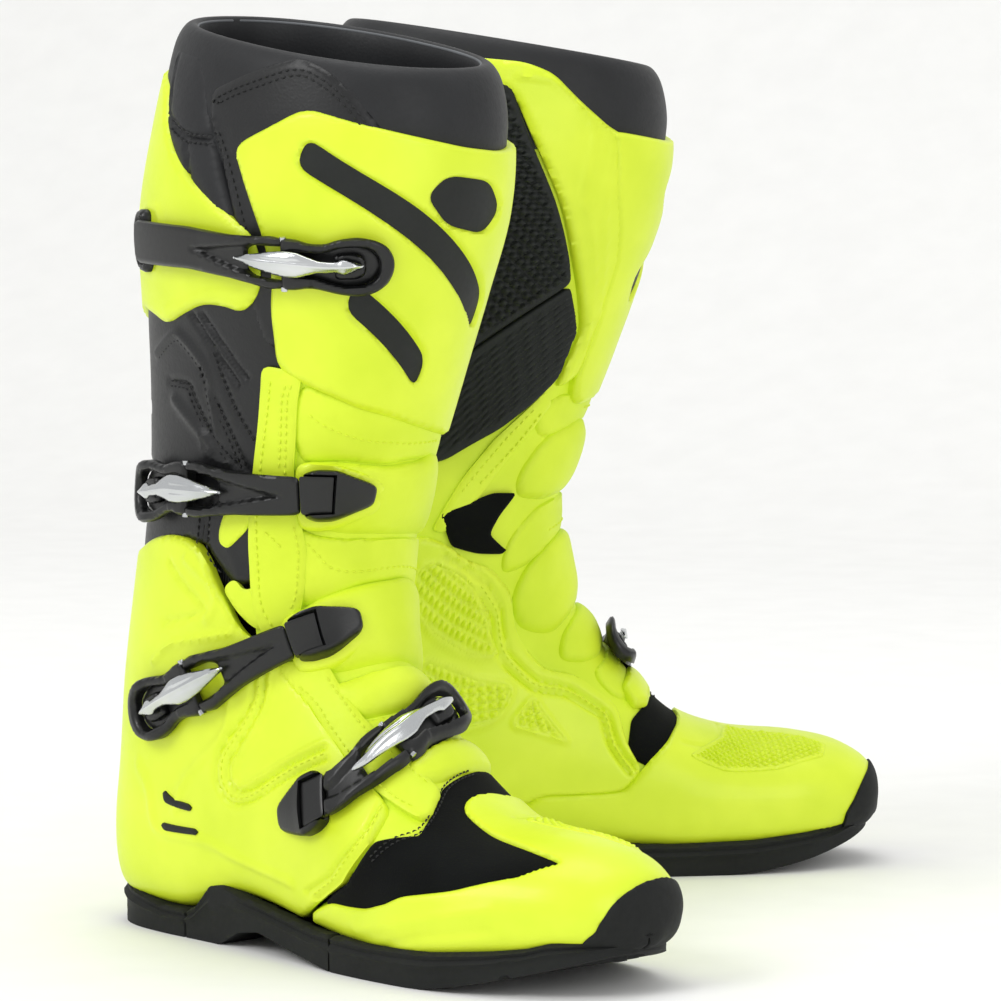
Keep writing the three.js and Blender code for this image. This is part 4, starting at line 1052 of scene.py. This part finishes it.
def strap(chart, start, fork):
    """Urethane strap: straight run, widened fork with a slit, and a tapered well for the lever."""
    w, n = STRAP_WIDTH / 2, RING_WIDTH / 2
    edge = [(start, w - 1), (start + 2, w), (fork - 30, w), (fork - 10, w + .3), (fork + 2, n - 3),
            (fork + 9, n - 1.8), (fork + 14.5, n - 2.6)]
    slit = [(fork + 14.5, 7.4), (fork + 2, 6.8), (fork - 2, 4.5)]
    outline = rounded(mirrored(edge + slit), 1.6, 1.2)

    def top(u, v, d):
        well = np.interp(u, [fork - 34, fork - 4, fork + 8], [0, 6.4, 7.6])
        sunk = np.clip((well - abs(v)) / 1.6, 0, 1) * (u > fork - 34)
        swell = np.interp(u, [fork - 26, fork + 2, fork + 10], [0, 1.6, 1.2])
        return soft_edge(4.2 + STRAP_THICK, 1.2)(u, v, d) + swell - 2.4 * sunk
    return patch(chart, outline, 1.0, top, lambda u, v: 0 * u + 4.2, (), (1, 1), 3)


def frame_shape(chart, fork, end):
    """Nylon buckle frame: two arms joined by a ring, one long keyhole through it."""
    n = RING_WIDTH / 2
    edge = [(fork + 14, 10.6), (fork + 15.5, 11.4), (fork + 20, 11.2), (fork + 25, 9.8), (fork + 31, 10.4),
            (fork + 38, 12.6), (fork + 45, n), (fork + 51, n - 1.6), (fork + 55.5, n - 5), (end, 2.5)]
    hole = [(fork + 13.2, 6.0), (fork + 28, 5.2), (fork + 33, 6.8), (fork + 38, 8.6), (fork + 46, 8.8),
            (fork + 50.5, 6.6), (fork + 52.5, 2.4)]
    outline = rounded(mirrored(edge), 2.5, 1.2)
    keyhole = rounded(mirrored([(fork + 17.5, .6), (fork + 18, 5.6)] + hole[1:]), 2.0, 1.2)

    def top(u, v, d):
        h = soft_edge(4.6 + STRAP_THICK, 1.5)(u, v, d)
        return h + 1.4 * np.exp(-((u - fork - 46) / 7) ** 2) + 1.0 * (u < fork + 26)
    return patch(chart, outline, .9, top, lambda u, v: 0 * u + 3.6, (keyhole,), (1, 1), 3)


def lever(chart, tip):
    """Forged leaf: pointed nose, broad blade with a ridge, narrow neck, arrow-head hook."""
    nose = tip - LEVER_LENGTH
    edge = [(nose, .5), (nose + 7, 2.5), (nose + 15, 4.6), (nose + 22, 5.8), (nose + 27, 5.7),
            (nose + 31, 4.2),
            (nose + 35, 2.7), (nose + 42, 2.3), (nose + 44.5, 3.7), (nose + 48, 2.4), (tip, .6)]
    outline = rounded(mirrored(edge), 1.4, .9)

    def top(u, v, d):
        ridge = 1.0 * np.exp(-(v / .9) ** 2) + .5 * np.exp(-((abs(v) - 2.6) / .7) ** 2) * (u < nose + 25)
        bow = 1.6 * np.sin(np.clip((u - nose) / LEVER_LENGTH, 0, 1) * np.pi)
        return 9.0 + 1.9 * (1 - np.exp(-d / 1.3)) + .55 * ridge + bow

    def bottom(u, v):
        return 8.4 + 1.6 * np.sin(np.clip((u - nose) / LEVER_LENGTH, 0, 1) * np.pi)
    return patch(chart, outline, .6, top, bottom, (), (1, 1), 2)


def catch_plate(chart, fork, end):
    """Nylon base under the frame, with the hook that the lever pulls against."""
    edge = [(fork + 16, 8.6), (fork + 26, 8.4), (fork + 34, 9.4), (fork + 44, 10.4), (fork + 50, 8),
            (end - 4, 3)]
    base = patch(chart, rounded(mirrored(edge), 2.0, 1.4), 1.2, soft_edge(3.4, 1.0), .4)
    hook = patch(chart, rounded(mirrored([(fork + 35, 5.4), (fork + 43, 5.8), (fork + 46, 4.6),
                                          (fork + 47.2, 2)]), 1.6, 1.0),
                 .9, soft_edge(6.8, 1.2), 3.0)
    return joined(base, hook)


def keeper(chart, number):
    """Nylon wedge that the strap comes out of: six-sided, tallest at the mouth, with a cross slot."""
    if number == 1:
        outer = mirrored([(-9.5, 4), (-8, 9), (-4, 13), (2, 13.4), (4, 11)])
        inner = mirrored([(-4.4, 5), (-3.6, 9), (-.5, 9.6), (1.4, 9.6)])
        return patch(chart, rounded(outer, 2.4, 1.2), 1.0, soft_edge(4.4, 1.6), .3,
                     (rounded(inner, 1.2, 1.0),))
    L, w = KEEPER_LENGTH, KEEPER_WIDTH / 2
    outline = rounded(mirrored([(3.5, w - 8.6), (5.5, w - 6.4), (L - 12, w), (L - 5, w), (L, w - 2.6)]),
                      2.2, 1.0)

    def top(u, v, d):
        h = 4.2 + 4.2 * np.clip(u / (L - 10), 0, 1) + .6 * np.exp(-((v / 8) ** 2))
        slot = (u > L - 11.5) & (abs(v) < STRAP_WIDTH / 2 + .6)
        h = np.where(slot, 3.8, h)
        t = 1 - np.clip(d / 1.6, 0, 1)
        return h - 1.6 * (1 - np.sqrt(1 - t * t))
    return patch(chart, outline, .8, top, .4, (), (1, 1), 3)


def strap_root(chart):
    """The strap's short length inside its keeper, up to the line where it swings."""
    w = STRAP_WIDTH / 2
    outline = rounded([(KEEPER_LENGTH - 10.6, -w), (KEEPER_LENGTH + 1, -w), (KEEPER_LENGTH + 1, w),
                       (KEEPER_LENGTH - 10.6, w)], .4, 1.2)
    return patch(chart, outline, 1.0, soft_edge(4.2 + STRAP_THICK, .3), 3.9)


def keeper_seat(chart):
    """Raised rim moulded round a keeper."""
    L, w = KEEPER_LENGTH, KEEPER_WIDTH / 2
    outline = rounded(mirrored([(-2, w - 6), (1, w - 3), (L - 12, w + 4), (L - 2, w + 4), (L + 3, w + 1)]),
                      5, 1.6)
    return patch(chart, outline, 1.4, soft_edge(.9, 1.6, .4, 5), -4.0)


def pins(chart, fork):
    """Pin heads at the joint of fork and frame, seen end-on at both edges."""
    heads = []
    for v in (-11.0, 11.0):
        line = np.stack([np.full(9, fork + 15.0), np.linspace(v - 1.2, v + 1.2, 9)], -1)
        heads.append(tube(line, 1.5, 10, chart, 6.4))
    return joined(*heads)


for number, (base, rib, path) in enumerate(CLOSURES, 1):
    chart, length = run_chart(base, rib, path)
    end = length - 2
    fork = end - 58
    start = 1.2 if number == 1 else KEEPER_LENGTH + 1.2
    home = "shaft" if number < 3 else "feet"
    pair(f"strap_{number}", strap(chart, start, fork), STRAP_URETHANE, f"strap_{number}",
         (f"strap_{number}",))
    pair(f"buckle_frame_{number}", frame_shape(chart, fork, end), BUCKLE_NYLON, f"strap_{number}")
    pair(f"buckle_pins_{number}", pins(chart, fork), STEEL_PIN, f"strap_{number}")
    pair(f"lever_{number}", lever(chart, fork + 46), LEVER_ALUMINIUM, f"lever_{number}",
         (f"lever_{number}",))
    pair(f"receiver_{number}", catch_plate(chart, fork, end), BUCKLE_NYLON, home,
         (f"receiver_{number}",))
    pair(f"keeper_{number}", keeper(chart, number), BUCKLE_NYLON, home,
         (f"keeper_{number}",))
    if number > 1:
        pair(f"strap_root_{number}", strap_root(chart), STRAP_URETHANE, home)
    if number in (2, 3):
        pair(f"keeper_seat_{number}", keeper_seat(chart), YELLOW_TPU, home)

# ------------------------------------------------------------------ carried-over nodes
for side in ("right", "left"):
    for node, material in (("foot_liner", KNIT), ("footbed", INSOLE_FOAM)):
        obj = frame["nodes"][f"{side}_{node}"]
        obj.data.materials.clear()
        obj.data.materials.append(material)


# ------------------------------------------------------------------ floor, light, camera
def stage():
    """Pale floor that curves up into a backdrop: height grows with the square of the way back."""
    x = np.linspace(-6, 6, 25)
    t = np.linspace(0, 1, 60)
    y = -5 + 9 * t
    z = 1.6 * np.clip((y - 1.6) / 2.4, 0, 1) ** 2 * 2.2
    gx, gy = np.meshgrid(x, y, indexing="ij")
    gz = np.broadcast_to(z, gx.shape)
    verts = np.stack([gx, gy, gz], -1).reshape(-1, 3)
    i, j = np.meshgrid(np.arange(24), np.arange(59), indexing="ij")
    faces = np.stack([i * 60 + j, (i + 1) * 60 + j, (i + 1) * 60 + j + 1, i * 60 + j + 1], -1).reshape(-1, 4)
    mesh = make_mesh("studio_floor", verts, faces, np.zeros((len(verts), 2)))
    floor = bpy.data.objects.new("studio_floor", mesh)
    bpy.context.scene.collection.objects.link(floor)
    mesh.materials.append(finish("matte_white_paper", "#F4F4F2", "#F1F1EF", .9, 2.0, .01))


def light(name, place, target, size, power):
    """Square soft box aimed at a point."""
    data = bpy.data.lights.new(name, "AREA")
    data.size, data.energy = size, power
    obj = bpy.data.objects.new(name, data)
    bpy.context.scene.collection.objects.link(obj)
    obj.location = place
    aim = np.array(target, float) - np.array(place, float)
    obj.rotation_euler = (math.acos(-aim[2] / np.linalg.norm(aim)), 0,
                          math.atan2(aim[1], aim[0]) - math.pi / 2)


def camera():
    """Long lens, 5 degrees above the boots' middle and 18 degrees round to the outer side."""
    azimuth, height = math.radians(17.7), math.radians(5.0)
    target = np.array([side_frame("right")[0][0] + .0719, 0, .1806])
    back = np.array([math.sin(azimuth) * math.cos(height), -math.cos(azimuth) * math.cos(height),
                     math.sin(height)])
    data = bpy.data.cameras.new("camera")
    data.sensor_width, data.lens = 36.0, 184.8
    data.clip_end = 100
    obj = bpy.data.objects.new("camera", data)
    bpy.context.scene.collection.objects.link(obj)
    obj.location = target + back * 2.267
    obj.rotation_euler = (math.pi / 2 - height, 0, azimuth)
    bpy.context.scene.camera = obj


stage()
light("key_left", (-1.6, -2.4, 2.2), (0, 0, .2), 1.4, 40)
light("fill_right", (2.4, -1.8, 1.2), (0, 0, .2), 1.6, 16)
light("top", (0, .2, 2.6), (0, 0, .2), 1.6, 20)
world = bpy.data.worlds.new("studio")
world.use_nodes = True
world.node_tree.nodes["Background"].inputs["Color"].default_value = (1, 1, 1, 1)
world.node_tree.nodes["Background"].inputs["Strength"].default_value = .76
bpy.context.scene.world = world
bpy.context.scene.view_settings.view_transform = "Standard"
camera()
